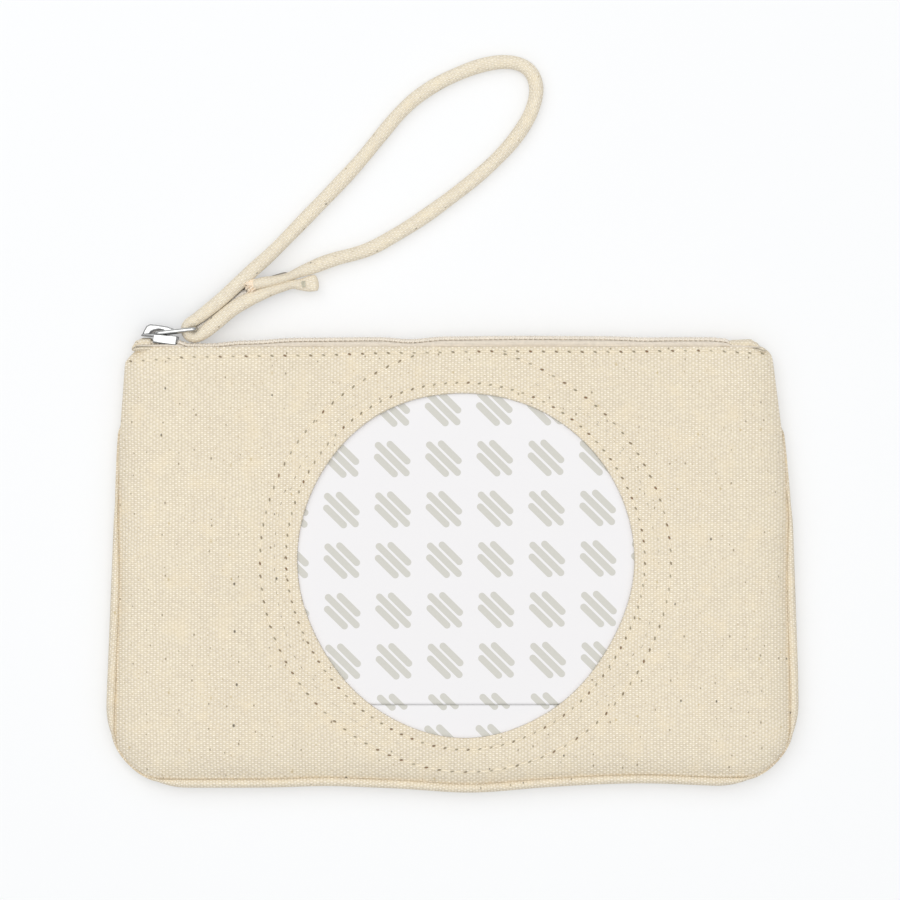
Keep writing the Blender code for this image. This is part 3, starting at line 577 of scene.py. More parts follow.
def bottom_wave(points):
    """The bottom seam isn't quite straight: it sags in the middle and lifts at the right."""
    x, y = points[:, 0] / MM, points[:, 1]
    wave = (-1.5 * np.exp(-((x - 5) / 17) ** 2) + 1.25 * np.exp(-((x - 56) / 24) ** 2)
            + 0.5 * np.exp(-((x + 38) / 12) ** 2)) * MM
    return wave * smoothstep(-y, 30 * MM, 62 * MM)


def clock_radius(angle, hours):
    """Smooth radius in metres at an angle (anticlockwise from +X) from its value at each hour."""
    place = ((math.pi / 2 - np.asarray(angle)) / (2 * math.pi) * 12) % 12
    first = np.floor(place).astype(int)
    values = [np.array(hours)[(first + k) % 12] for k in (-1, 0, 1, 2)]
    return MM * spline(*values, place - first)


# Radius between the two rings of stitches.
STITCH_DIVIDE = (INNER_STITCH_MM[0] + OUTER_STITCH_MM[2]) / 2 * MM

SILHOUETTE = rounded_polygon([(x * MM, y * MM, r * MM) for x, y, r in OUTLINE_MM], 1.35 * MM)
SILHOUETTE[:, 1] += bottom_wave(SILHOUETTE)
TANGENT = unit(np.roll(SILHOUETTE, -1, axis=0) - np.roll(SILHOUETTE, 1, axis=0))
INWARD = np.stack([-TANGENT[:, 1], TANGENT[:, 0]], axis=1)

# 1 where the outline is the folded top edge, 0 along the three seams.
IS_TOP = (smoothstep(SILHOUETTE[:, 0], -96.2 * MM, -93.4 * MM)
          * smoothstep(-SILHOUETTE[:, 0], -95.4 * MM, -92.4 * MM)
          * (SILHOUETTE[:, 1] > SIDE_TOP))


def rim_width():
    """How wide the back panel's edge shows round the front: nothing near the zip, least at corners."""
    width = RIM * smoothstep(-SILHOUETTE[:, 1], -41 * MM, 12 * MM)
    for corner_x in (-98.5 * MM, 98.5 * MM):
        away = np.hypot(SILHOUETTE[:, 0] - corner_x, SILHOUETTE[:, 1] + 60 * MM)
        width *= 1 - 0.97 * np.exp(-((away / (13 * MM)) ** 4))
    return width


RIM_WIDTH = rim_width()
SEAM = SILHOUETTE + INWARD * RIM_WIDTH[:, None]


def seam_distance(points):
    """Distance from the three seams, ignoring the open top."""
    line = SEAM[IS_TOP < 0.5]
    flat = points.reshape(-1, 2)
    best = np.full(len(flat), 1.0)
    for start in range(0, len(flat), 4000):
        part = flat[start:start + 4000]
        gaps = np.linalg.norm(part[:, None] - line[None], axis=2)
        best[start:start + 4000] = gaps.min(axis=1)
    return best.reshape(points.shape[:-1])


def waviness(points):
    x, y = points[..., 0] / MM, points[..., 1] / MM
    return MM * (
        0.16 * np.sin(x / 17.0 + 0.6 * np.sin(y / 23.0)) * np.cos(y / 21.0 + 0.7)
        + 0.10 * np.sin(x / 7.3 + 1.3) * np.sin(y / 9.1 + x / 31.0)
    )


def stitch_lines(points):
    """Distance of each point from the nearer ring of stitches, and from the top row."""
    x, y = points[..., 0] - WINDOW_X, points[..., 1] - WINDOW_Y
    radius, angle = np.hypot(x, y), np.arctan2(y, x)
    inner = radius - clock_radius(angle, INNER_STITCH_MM)
    outer = radius - clock_radius(angle, OUTER_STITCH_MM)
    ring = np.where(radius > STITCH_DIVIDE, outer, inner)
    row = points[..., 1] - along_table(points[..., 0] / MM, TOP_STITCH_MM) * MM
    return ring, row


def stitch_groove(points):
    """How deep the three lines of stitching pull the canvas down."""
    ring, row = stitch_lines(points)
    depth = 0.20 * MM * np.exp(-((ring / (0.9 * MM)) ** 2))
    return np.maximum(depth, 0.25 * MM * np.exp(-((row / (0.9 * MM)) ** 2)))


def front_height(points):
    """Height of the front canvas's outer face."""
    away = seam_distance(points)
    crown = THICKNESS - 0.25 * MM - SEAM_Z
    rise = 1 - np.exp(-away / (4.8 * MM))
    calm = smoothstep(away, 1 * MM, 12 * MM)
    return SEAM_Z + crown * rise + waviness(points) * calm - stitch_groove(points) * calm


def opens_with_mouth(piece):
    """Bake a front piece's transform into its mesh and read its vertex positions."""
    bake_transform(piece)
    count = len(piece.data.vertices)
    where = np.empty(count * 3, dtype=np.float32)
    piece.data.vertices.foreach_get("co", where)


# ---------------------------------------------------------------- camera, light and floor

def build_stage():
    camera_data = bpy.data.cameras.new("camera")
    camera_data.sensor_width = 36.0
    height = 1.5
    camera_data.lens = 36.0 * (height - 0.008) / 0.270
    camera = bpy.data.objects.new("camera", camera_data)
    bpy.context.scene.collection.objects.link(camera)
    camera.location = (-0.0009, 0.03525, height)
    bpy.context.scene.camera = camera
    bpy.context.scene.view_settings.view_transform = "Standard"

    world = bpy.data.worlds.new("studio")
    bpy.context.scene.world = world
    world.use_nodes = True
    background = world.node_tree.nodes["Background"]
    background.inputs["Color"].default_value = (0.97, 0.985, 1.0, 1.0)
    where = world.node_tree.nodes.new("ShaderNodeTexCoord")
    parts = world.node_tree.nodes.new("ShaderNodeSeparateXYZ")
    fade = world.node_tree.nodes.new("ShaderNodeMapRange")
    world.node_tree.links.new(where.outputs["Generated"], parts.inputs[0])
    world.node_tree.links.new(parts.outputs["Z"], fade.inputs["Value"])
    world.node_tree.links.new(fade.outputs[0], background.inputs["Strength"])
    for key, value in (("From Min", 0.12), ("From Max", 0.6), ("To Min", 0.2), ("To Max", 0.84)):
        fade.inputs[key].default_value = value

    for name, location, size, power, color in (
        ("overhead", (0.1, 0.1, 1.9), 1.3, 10.8, (1.0, 1.0, 1.0)),
        ("key", (-0.50, 0.70, 1.2), 0.9, 3.4, (1.0, 0.985, 0.96)),
    ):
        light_data = bpy.data.lights.new(name, "AREA")
        light_data.size = size
        light_data.energy = power
        light_data.color = color
        light = bpy.data.objects.new(name, light_data)
        bpy.context.scene.collection.objects.link(light)
        light.location = location
        aim = -np.array(location) / np.linalg.norm(location)
        yaw = math.atan2(aim[1], aim[0])
        light.rotation_euler = (math.acos(-aim[2]), 0, yaw - math.pi / 2)

    s = Shader("floor_paper")
    s.finish((0.60, 0.603, 0.606), 0.9, Emission_Color=(1.0, 1.0, 1.0),
             Emission_Strength=0.305)
    size = 3.0
    corners = np.array([[[-size, -size, 0], [size, -size, 0]], [[-size, size, 0], [size, size, 0]]])
    floor = grid_object("floor", corners - [0, 0, 0.0002], corners[..., :2], s.material)


# ---------------------------------------------------------------- strap

def strap_route():
    def scaled(rows):
        return [[value * MM for value in row] for row in rows]

    turn = []
    for angle in STRAP_TURN_DEG:
        direction = math.radians(angle)
        turn.append([RING_BAR[0] + STRAP_TURN_RADIUS * math.cos(direction),
                     RING_BAR[1] + STRAP_TURN_RADIUS * math.sin(direction), STRAP_TURN_Z,
                     STRAP_TURN_HALF_WIDTH, STRAP_RADIUS])
    return np.array(scaled(STRAP_TO_RING_MM) + turn + scaled(STRAP_FROM_RING_MM))


def catmull_rom(points, spacing):
    """Even samples of a smooth curve through points; columns past the third ride along."""
    dense = []
    for i in range(len(points) - 1):
        p0, p1 = points[max(i - 1, 0)], points[i]
        p2, p3 = points[i + 1], points[min(i + 2, len(points) - 1)]
        dense += [spline(p0, p1, p2, p3, t) for t in np.linspace(0, 1, 24, endpoint=False)]
    dense.append(points[-1])
    dense = np.array(dense)
    length = np.r_[0, np.cumsum(np.linalg.norm(np.diff(dense[:, :3], axis=0), axis=1))]
    at = np.linspace(0, length[-1], int(length[-1] / spacing))
    return np.stack([np.interp(at, length, dense[:, k]) for k in range(dense.shape[1])], 1), at


def tube_points(path, widths, heights, sides):
    """Rings of an oval tube that follows a path lying near the floor."""
    tangent = unit(np.gradient(path, axis=0))
    side = unit(np.cross([0.0, 0.0, 1.0], tangent))
    up = np.cross(tangent, side)
    angle = around(sides)[None]
    return (path[:, None] + side[:, None] * (np.cos(angle) * widths[:, None])[..., None]
            + up[:, None] * (np.sin(angle) * heights[:, None])[..., None])


def build_strap(material, frayed, thread):
    samples, along = catmull_rom(strap_route(), 0.55 * MM)
    path = samples[:, :3]
    lumps = 1 + 0.02 * np.sin(along / (7.1 * MM)) + 0.02 * np.sin(along / (2.9 * MM) + 1.0)
    across = samples[:, 3] * lumps
    sides = 32
    rings = tube_points(path, across, samples[:, 4], sides)
    uvs = np.stack(np.meshgrid(around(sides) * STRAP_RADIUS, along), axis=-1)
    strap = tube_with_ends("wrist_strap_tube", rings, uvs, material)
    stands_for(strap, "wrist_strap", "strap")

    tufts = build_frayed_end(path, across, frayed)
    tack = build_bartack(thread)


def tube_with_ends(name, rings, uvs, material):
    """Closed tube: its wall and a rounded cap on each end."""
    for end, inward in ((0, 1), (-1, -1)):
        center = rings[end].mean(axis=0)
        out = unit((rings[end] - rings[end + inward]).mean(axis=0))
        caps, cap_uvs = [], []
        for share, push in ((0.12, 0.42), (0.5, 0.36), (0.82, 0.2)):
            caps.append(center + (rings[end] - center) * share + out * push * STRAP_RADIUS)
            cap_uvs.append(uvs[end] * [share, 1.0])
        if end == 0:
            wall_rows = caps + list(rings)
            wall_uvs = cap_uvs + list(uvs)
        else:
            wall_rows += caps[::-1]
            wall_uvs += cap_uvs[::-1]
    obj = grid_object(name, np.array(wall_rows), np.array(wall_uvs), material, wrap=True)
    face_outward(obj.data, rings.shape[1])
    return obj


def face_outward(mesh, end_sides=0):
    """Turn a closed mesh's faces outward, after capping its first and last ring if asked."""
    bm = bmesh.new()
    bm.from_mesh(mesh)
    bm.verts.ensure_lookup_table()
    count = len(bm.verts)
    if end_sides:
        for ring in (range(end_sides), range(count - end_sides, count)):
            bm.faces.new([bm.verts[i] for i in ring])
    bmesh.ops.recalc_face_normals(bm, faces=bm.faces)
    bm.to_mesh(mesh)
    bm.free()
    mesh.shade_smooth()


def build_frayed_end(path, across, material):
    """Loose yarn ends round the strap's raw cut."""
    rng = np.random.default_rng(11)
    out = unit(path[0] - path[2])
    side = np.cross([0, 0, 1.0], out)
    up = np.cross(out, side)
    pieces = []
    for _ in range(54):
        angle = rng.uniform(0, 2 * math.pi)
        reach = math.sqrt(rng.uniform(0.05, 1.0))
        spread = side * math.cos(angle) + up * math.sin(angle) * 0.8
        root = path[0] - out * 0.8 * MM + spread * across[0] * reach * 0.95
        bend = spread * reach * 0.9 + side * rng.normal(0, 0.5) + up * rng.normal(0, 0.3)
        length = rng.uniform(2.2, 4.0) * MM
        steps = np.linspace(0, 1, 5)[:, None]
        line = root + out * steps * length + bend * steps ** 2 * 0.9 * MM
        radius = rng.uniform(0.20, 0.36) * MM * (1 - 0.35 * steps[:, 0])
        pieces.append(tube_points(line, radius, radius, 6))
    return joined_tubes("strap_frayed_end", pieces, material, None, "strap")


def joined_tubes(name, pieces, material, node, body):
    """Many short closed tubes as one piece."""
    verts, faces = [], []
    for rings in pieces:
        rows, sides, _ = rings.shape
        base = len(verts)
        verts += rings.reshape(-1, 3).tolist()
        faces += quads(rows, sides, True, base)
        faces.append(list(range(base, base + sides))[::-1])
        faces.append(list(range(len(verts) - sides, len(verts))))
    mesh = bpy.data.meshes.new(name)
    mesh.from_pydata(verts, [], faces)
    obj = add_object(name, mesh, material)
    stands_for(obj, node, body)
    return obj


def build_bartack(material):
    """A few turns of thread that pinch the neck of the strap's folded end."""
    pieces = []
    neck = np.array([-44.9, 85.15, 4.05]) * MM
    turn = math.radians(12)
    along = np.array([math.cos(turn), math.sin(turn), 0])
    over = np.array([-math.sin(turn), math.cos(turn), 0])
    angle = np.linspace(0.36 * math.pi, 0.66 * math.pi, 11)[:, None]
    arch = over * np.cos(angle) * 1.95 * MM + [0, 0, 1.66 * MM] * np.sin(angle)
    radius = np.full(11, 0.15 * MM)
    for k in range(4):
        lean = (k - 1.5) * 0.26 * MM
        line = neck + along * (lean + 0.1 * MM * np.cos(angle * (k + 2))) + arch
        pieces.append(tube_points(line, radius, radius, 6))
    return joined_tubes("strap_bartack_thread", pieces, material, "strap_bartack", "strap")


# ---------------------------------------------------------------- canvas panels

def build_front(material):
    """Front canvas: window edge, field, seam dip or top fold, then the turned-in allowance."""
    offset = SEAM - [WINDOW_X, WINDOW_Y]
    angle = np.arctan2(offset[:, 1], offset[:, 0])
    hole = window_ring(angle, clock_radius(angle, WINDOW_EDGE_MM))
    span = np.linalg.norm(SEAM - hole, axis=1)
    near_hole = np.array([0, 0.12, 0.3, 0.55, 0.9, 1.5, 2.2, 3.0]) * MM
    near_seam = np.array([4.2, 3.2, 2.4, 1.8, 1.2, 0.8, 0.5, 0.28, 0.12, 0.0]) * MM
    middle = np.linspace(0, 1, 42)[1:-1]
    distances = [np.full(len(span), d) for d in near_hole]
    start, stop = near_hole[-1], span - near_seam[0]
    distances += [start + (stop - start) * m for m in middle]
    distances += [span - d for d in near_seam]
    rows = []
    for distance in distances:
        xy = hole + (SEAM - hole) * (distance / span)[:, None]
        z = front_height(xy)
        edge = np.clip(1 - distance / (0.6 * MM), 0, 1)
        z = z - 0.55 * MM * (1 - np.sqrt(1 - edge ** 2))
        from_fold = np.clip(1 - (span - distance) / FOLD, 0, 1)
        z = z - IS_TOP * FOLD * (1 - np.sqrt(1 - from_fold ** 2))
        rows.append(np.column_stack([xy, z]))
    top = front_height(SEAM - np.array([0, 2.0 * MM]) * IS_TOP[:, None])
    for share in (0.25, 0.5, 0.75, 1.0):
        a = math.radians(90 + 80 * share)
        z = np.where(IS_TOP > 0, top - FOLD * (1 - math.cos(a)), SEAM_Z - 0.3 * MM * share)
        rows.append(np.column_stack([SEAM + INWARD * FOLD * (1 - math.sin(a)), z]))
    for reach in (3.0, 6.0, 9.5):
        depth = reach * MM * (IS_TOP + (1 - IS_TOP) * 0.7)
        z = np.where(IS_TOP > 0, top - 2 * FOLD - 0.05 * MM, SEAM_Z - 0.45 * MM)
        rows.append(np.column_stack([SEAM + INWARD * depth[:, None], z]))
    points = np.array(rows)[::-1]
    front = grid_object("front_canvas", points, points[..., :2], material, wrap=True)
    set_uv(front.data, np.stack(stitch_lines(points), axis=-1).reshape(-1, 2), "stitch_lines")
    orient_up(front)
    thicken(front, CANVAS)
    stands_for(front, "front_panel", MOUTH)


def orient_up(obj, up=True):
    """Make the sheet's broad faces look up (or down)."""
    total = sum(polygon.normal.z * polygon.area for polygon in obj.data.polygons)
    if (total > 0) != up:
        obj.data.flip_normals()


def build_back(material):
    """Back canvas: rolled edge round the front, flat underside, and the top fold."""
    # Each profile is (how far in from the outline, height in millimetres), from the turned-in
    # allowance over the edge to the flat underside; both have the same number of rows.
    side_profile = [
        (RIM_WIDTH + 7.5 * MM, 5.0), (RIM_WIDTH + 4 * MM, 5.15), (RIM_WIDTH + 1.0 * MM, 5.3),
        (RIM_WIDTH, 5.45), (RIM_WIDTH * 0.96, 6.0), (RIM_WIDTH * 0.86, 6.5),
        (RIM_WIDTH * 0.68, 6.85), (RIM_WIDTH * 0.45, 6.9), (RIM_WIDTH * 0.24, 6.6),
        (RIM_WIDTH * 0.08, 5.9), (RIM_WIDTH * 0, 4.9), (0.12 * MM, 3.7), (0.7 * MM, 2.5),
        (1.8 * MM, 1.4), (3.4 * MM, 0.6), (5.6 * MM, 0.15), (8.5 * MM, 0.0), (FLAT_FROM, 0.0),
    ]
    allowance = [(9.5 * MM, 1.7), (5.0 * MM, 1.68)]
    underside = [(reach * MM, 0.0) for reach in (1.6, 3.0, 5.0, 8.5)] + [(FLAT_FROM, 0.0)]
    fold_rows = len(side_profile) - len(allowance) - len(underside)
    fold = [(FOLD * (1 - math.sin(a)), (FOLD / MM) * (1 + math.cos(a)))
            for a in np.linspace(0, math.pi, fold_rows)]
    roll = np.clip(RIM_WIDTH / (0.8 * MM), 0, 1)
    from_corner = np.minimum(np.linalg.norm(SILHOUETTE - [-98 * MM, 62 * MM], axis=1),
                             np.linalg.norm(SILHOUETTE - [97 * MM, 64 * MM], axis=1))
    near_corner = np.exp(-(from_corner / (35 * MM)) ** 2)

    def set_in(inward):
        """The outline moved in; near the tight top corners it shrinks, so it never crosses itself."""
        square = SILHOUETTE * (1 - inward[:, None] / [104 * MM, 66 * MM])
        share = (near_corner * smoothstep(inward, 1.5 * MM, 5 * MM))[:, None]
        return (SILHOUETTE + INWARD * inward[:, None]) * (1 - share) + square * share

    rows, run = [], [np.zeros(len(SILHOUETTE))]
    for (side_in, side_z), (top_in, top_z) in zip(side_profile, allowance + fold + underside):
        tucked = min(side_z, SHUT_SEAM_MM)
        inward = (side_in + 0.1 * MM * (1 - roll)) * (1 - IS_TOP) + top_in * IS_TOP
        z = ((tucked + (side_z - tucked) * roll) * (1 - IS_TOP) + top_z * IS_TOP) * MM
        rows.append(np.column_stack([set_in(inward), z]))
        if len(rows) > 1:
            run.append(run[-1] + np.linalg.norm(rows[-1] - rows[-2], axis=1))
    unrolled = [SILHOUETTE + INWARD * (FLAT_FROM - run[-1] + length)[:, None] for length in run]
    flat = rows[-1][:, :2]
    for share in (0.85, 0.6, 0.35):
        rows.append(np.column_stack([flat * share, np.zeros(len(flat))]))
        unrolled.append(flat * share)
    uvs = np.array(unrolled) + BACK_CLOTH_SHIFT
    back = grid_object("back_canvas", np.array(rows), uvs, material, wrap=True, cap_last=True)
    orient_up(back, up=False)
    thicken(back, CANVAS)
    stands_for(back, "back_panel", "back")


# ---------------------------------------------------------------- stitching

def stitches(points, heights):
    """Thread dashes between needle holes: each dips into the cloth at both ends."""
    pieces = []
    t = np.linspace(0.13, 0.87, 9)
    lift = np.sin((t - t[0]) / (t[-1] - t[0]) * math.pi).clip(0) ** 0.6
    radius = (0.09 + 0.10 * lift) * MM
    for a, b, za, zb in zip(points[:-1], points[1:], heights[:-1], heights[1:]):
        xy = a + (b - a) * t[:, None]
        z = za + (zb - za) * t + (-0.20 + 0.30 * lift) * MM
        pieces.append(tube_points(np.column_stack([xy, z]), radius, radius * 0.8, 8))
    return pieces


def build_stitching(material):
    def lay(name, node, xy):
        joined_tubes(name, stitches(xy, front_height(xy)), material, node, MOUTH)

    def ring(hours, count):
        angle = np.linspace(0, 2 * math.pi, count + 1)
        return window_ring(angle, clock_radius(angle, hours))

    lay("window_edge_stitches", "thread_window_inner", ring(INNER_STITCH_MM, INNER_STITCHES))

    outer = ring(OUTER_STITCH_MM, OUTER_STITCHES)
    row_y = along_table(outer[:, 0] / MM, TOP_STITCH_MM) * MM
    beyond = np.flatnonzero(outer[:, 1] > row_y - 0.2 * MM)
    arc = np.vstack([outer[beyond[-1] + 1:-1], outer[:beyond[0]]])
    lay("outer_ring_stitches", "thread_window_outer", arc)

    first = math.ceil(TOP_STITCH_MM[0][0] * MM / TOP_STITCH)
    last = math.floor(TOP_STITCH_MM[-1][0] * MM / TOP_STITCH)
    x = np.arange(first, last + 1) * TOP_STITCH
    top = np.stack([x, along_table(x / MM, TOP_STITCH_MM) * MM], axis=1)
    lay("top_stitches_front", "thread_top_front", top)

    under = [piece * [1, 1, -1] for piece in stitches(top, np.full(len(x), -0.28 * MM))]
    joined_tubes("top_stitches_back", under, material, "thread_top_back", "back")

    seam = (SEAM + INWARD * 3.0 * MM)[IS_TOP < 0.01]
    first = int(np.argmax(seam[:, 1] < SIDE_TOP))
    seam = np.roll(seam, -first, axis=0)[::3]
    seam = seam[seam[:, 1] < SIDE_TOP]
    hidden = [piece for piece in stitches(seam, np.full(len(seam), 5.0 * MM))
              if np.ptp(piece[..., :2], axis=(0, 1)).max() < 8 * MM]
    joined_tubes("side_seam_stitches", hidden, material, "thread_side_seam", "back")


# ---------------------------------------------------------------- window

def build_papers(material):
    """Two pieces of release paper that meet at a slit; their round edge lies under the canvas."""
    radius = max(WINDOW_EDGE_MM) * MM + 0.6 * MM
    slit = 0.035 * MM
    strip_depth = SLIT_Y - (WINDOW_Y - radius)
    half_chord = math.sqrt(radius ** 2 - (radius - strip_depth) ** 2)
    strip_area = radius ** 2 * math.acos(1 - strip_depth / radius) - (radius - strip_depth) * half_chord
    main_area = math.pi * radius ** 2 - strip_area
    for name, part, low, high, rows_across, curl, print_shift, flat, area in (
        ("main", "upper", (SLIT_Y + slit - WINDOW_Y) / radius, 1, 100, 0.05 * MM, [0, 0],
         (2 * radius, 2 * radius - strip_depth), main_area),
        ("strip", "lower", -1, (SLIT_Y - slit - WINDOW_Y) / radius, 30, 0.0, [1.3 * MM, -5.8 * MM],
         (2 * half_chord, strip_depth), strip_area),
    ):
        rows = []
        for turn in np.linspace(math.asin(low), math.asin(high), rows_across):
            y = WINDOW_Y + radius * math.sin(turn)
            x = WINDOW_X + max(radius * math.cos(turn), 0.2 * MM) * np.linspace(-1, 1, 91)
            z = PAPER_HIGH[2] - 0.05 * MM + 0.06 * MM * np.sin(x / (13 * MM) + y / (29 * MM))
            lift = curl * math.exp(-abs(y - SLIT_Y) / (2.0 * MM))
            ripple = 1 + 0.8 * np.sin(x / (9 * MM)) * np.sin(x / (3.7 * MM))
            rows.append(np.column_stack([x, np.full(len(x), y), z + lift * ripple]))
        points = np.array(rows)
        paper = grid_object("release_paper_" + name, points, points[..., :2] + print_shift, material)
        orient_up(paper)
        thicken(paper, 0.12 * MM)
        stands_for(paper, "release_paper_" + part, "paper_" + part)


def build_disc(name, node, thickness, material):
    """A round sheet with a softened edge, filling its part's place in the frame."""
    low, high = (np.array(corner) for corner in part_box(node))
    center = (low + high) / 2
    radius = (high[0] - low[0]) / 2
    turn = around(120)
    rows = []
    for share in (1.0, 0.985, 0.93, 0.8, 0.6, 0.4, 0.2, 0.04):
        reach = radius * share * (1 + 0.002 * np.sin(turn * 5))
        x, y = center[0] + reach * np.cos(turn), center[1] + reach * np.sin(turn)
        z = high[2] - (0.04 * MM if share == 1.0 else 0.0) + 0.02 * MM * np.sin(x / (9 * MM))
        rows.append(np.column_stack([x, y, z]))
    points = np.array(rows)
    disc = grid_object(name, points, points[..., :2], material, wrap=True, cap_last=True)
    orient_up(disc)
    thicken(disc, thickness)
    stands_for(disc, node, "front")


def build_facing(material):
    """Canvas ring sewn behind the window's edge, just out of sight."""
    turn = around(180)
    rows = []
    for reach in (0.45, 1.0, 2.0, 3.2, 4.2):
        xy = window_ring(turn, clock_radius(turn, WINDOW_EDGE_MM) + reach * MM)
        rows.append(np.column_stack([xy, front_height(xy) - CANVAS - 0.06 * MM]))
    points = np.array(rows)
    facing = grid_object("window_facing_ring", points, points[..., :2], material, wrap=True)
    orient_up(facing)
    thicken(facing, 0.35 * MM)
    stands_for(facing, "window_facing", MOUTH)


# ---------------------------------------------------------------- zip

def zip_lift(x):
    return along_table(np.asarray(x) / MM, ZIP_WAVE_MM) * MM


def build_tape(label, side, body, material):
    """One zip tape: inside the pouch it lies on the canvas, then it rolls over to the chain."""
    base = TAPE_HIGH[1]
    outer = 4.25 * MM
    profile = [(outer + 0.1 * MM, -13.0), (outer + 0.1 * MM, -9.0), (outer + 0.05 * MM, -5.0),
               (outer, -2.2), (outer - 0.05 * MM, -1.0), (4.12 * MM, -0.2), (3.95 * MM, 0.2),
               (3.7 * MM, 0.3), (3.5 * MM, 0.1), (3.3 * MM, 0.0), (1.2 * MM, 0.0), (0.35 * MM, 0.0)]
    x = np.linspace(TAPE_LOW[0] + 2.4 * MM, TAPE_HIGH[0], 240)
    lift = zip_lift(x)
    from_ends = smoothstep(x - x[0], 0, 14 * MM) * smoothstep(x[-1] - x, 0, 14 * MM)
    rows, uvs = [], []
    run = 0.0
    previous = None
    for out, up in profile:
        follow = smoothstep(up, -6.0, -0.2)
        y = base + up * MM * (0.25 + 0.75 * from_ends) + lift * follow
        place = np.stack([x, np.minimum(y, SIDE_TOP)], axis=-1)
        room = np.maximum(front_height(place) - SEAM_Z - CANVAS - 0.4 * MM, 0.15 * MM)
        room = room * (0.2 + 0.8 * from_ends)
        inside = smoothstep(-up, 0.3, 1.0)
        reach = out * (1 - inside) + np.minimum(out, room * 0.95) * inside
        z = MID_Z + side * reach
        rows.append(np.column_stack([x, y, z]))
        if previous is not None:
            run += math.hypot(out - previous[0], (up - previous[1]) * MM)
        uvs.append(np.column_stack([x, np.full(len(x), run)]))
        previous = (out, up)
    tape = grid_object("zip_tape_" + label, np.array(rows), np.array(uvs), material)
    thicken(tape, 0.3 * MM, offset=0.0)
    stands_for(tape, "zipper_tape_" + label, body)


def build_coil(label, side, body, material):
    """One row of nylon coil: a flattened spring whose loops meet those of the other row."""
    pitch = 1.5 * MM
    from_middle = 1.55 * MM
    low_x, high_x = COIL_LOW[0], COIL_HIGH[0] + 2.4 * MM
    per_turn = 14
    t = np.arange(int((high_x - low_x) / pitch) * per_turn + 1) / per_turn
    phase = 2 * math.pi * t
    half_width, half_height = 1.45 * MM, 0.56 * MM
    middle_y = (COIL_LOW[1] + COIL_HIGH[1]) / 2
    x = low_x + pitch * (t + (0.0 if side > 0 else 0.5))
    z = MID_Z + side * (from_middle + half_width * squared_off(np.cos(phase), 0.72))
    y = middle_y + half_height * squared_off(np.sin(phase), 0.72) + zip_lift(x)
    rings = spring_tube(np.column_stack([x, y, z]), 0.34 * MM, 7)
    x = np.linspace(low_x, high_x, 200)
    even = np.ones(len(x))
    core = np.column_stack([x, middle_y + zip_lift(x), even * (MID_Z + side * from_middle)])
    filler = tube_points(core, even * 0.62 * MM, even * 1.5 * MM, 12)
    joined_tubes("zip_coil_" + label, [rings, filler], material, "zipper_coil_" + label, body)


def spring_tube(path, radius, sides):
    """Rings round a winding path, carried along without twisting."""
    tangent = unit(np.gradient(path, axis=0))
    normal = unit(np.cross(tangent[0], [1.0, 0.0, 0.0]))
    turn = around(sides)[:, None]
    rings = []
    for point, ahead in zip(path, tangent):
        normal = unit(normal - ahead * (normal @ ahead))
        other = np.cross(ahead, normal)
        rings.append(point + radius * (np.cos(turn) * normal + np.sin(turn) * other))
    return np.array(rings)


def build_end_tabs(material):
    """Folded scraps of canvas that cover both ends of the zip."""
    for label, crest, base in (
        ("left", [(-96.4, 66.4), (-94.9, 68.2), (-92.9, 68.95), (-90.3, 68.9)], 64.9),
        ("right", [(82.2, 67.9), (84.2, 68.35), (89.3, 68.55), (91.0, 67.6), (92.4, 66.3),
                   (94.0, 65.6)], 64.6),
    ):
        x = np.linspace(crest[0][0], crest[-1][0], 40)
        top = along_table(x, crest)
        half = np.maximum((top - base) / 2, 0.2)
        turn = around(28)
        tall, wide = squared_off(np.sin(turn), 0.55), squared_off(np.cos(turn), 0.55)
        end = np.minimum(1, np.minimum(x - x[0], x[-1] - x) / 0.7)
        swell = 0.55 + 0.45 * np.sqrt(1 - (1 - end) ** 2)
        y = base + half[:, None] * (1 + tall[None] * swell[:, None])
        z = MID_Z / MM + 3.5 * wide[None] * swell[:, None]
        rings = np.stack([np.broadcast_to(x[:, None], y.shape), y, z], axis=-1) * MM
        uvs = np.stack(np.broadcast_arrays(turn[None] * 2.6 * MM, (x * MM)[:, None]), axis=-1)
        tab = grid_object("end_tab_" + label, rings, uvs, material, wrap=True)
        face_outward(tab.data, len(turn))
        stands_for(tab, "zipper_end_tab_" + label, "back")


# ---------------------------------------------------------------- slider, ring and tab

# Outlines seen from the front of the pouch, in millimetres.
ROOF_MM = [(-93.5, 69.45), (-93.2, 70.1), (-89.6, 70.2), (-83.2, 69.3), (-83.0, 68.9), (-89.6, 69.3)]
FLANGE_MM = [(-89.7, 69.95), (-82.55, 69.35), (-83.0, 66.6), (-90.05, 67.45)]
FOOT_MM = [(-90.0, 65.75), (-90.0, 66.3), (-83.4, 66.3), (-83.4, 65.75)]
POST_MM = [(-87.5, 66.0), (-87.5, 69.5), (-85.4, 69.3), (-85.4, 66.0)]
CAP_MM = [
    (-93.3, 69.75), (-92.8, 71.0), (-92.0, 72.45), (-90.9, 73.0), (-88.3, 72.7), (-85.6, 72.25),
    (-84.2, 71.75), (-83.3, 71.25), (-84.2, 70.5), (-86.0, 70.2), (-86.3, 70.75), (-87.1, 71.2),
    (-88.4, 71.45), (-89.7, 71.2), (-90.6, 70.75), (-91.0, 70.2), (-91.2, 69.7),
]
LEAF_MM = [(-91.3, 70.0), (-90.8, 70.9), (-89.7, 71.35), (-88.4, 71.6), (-87.1, 71.35), (-86.0, 70.8),
           (-85.8, 70.1)]


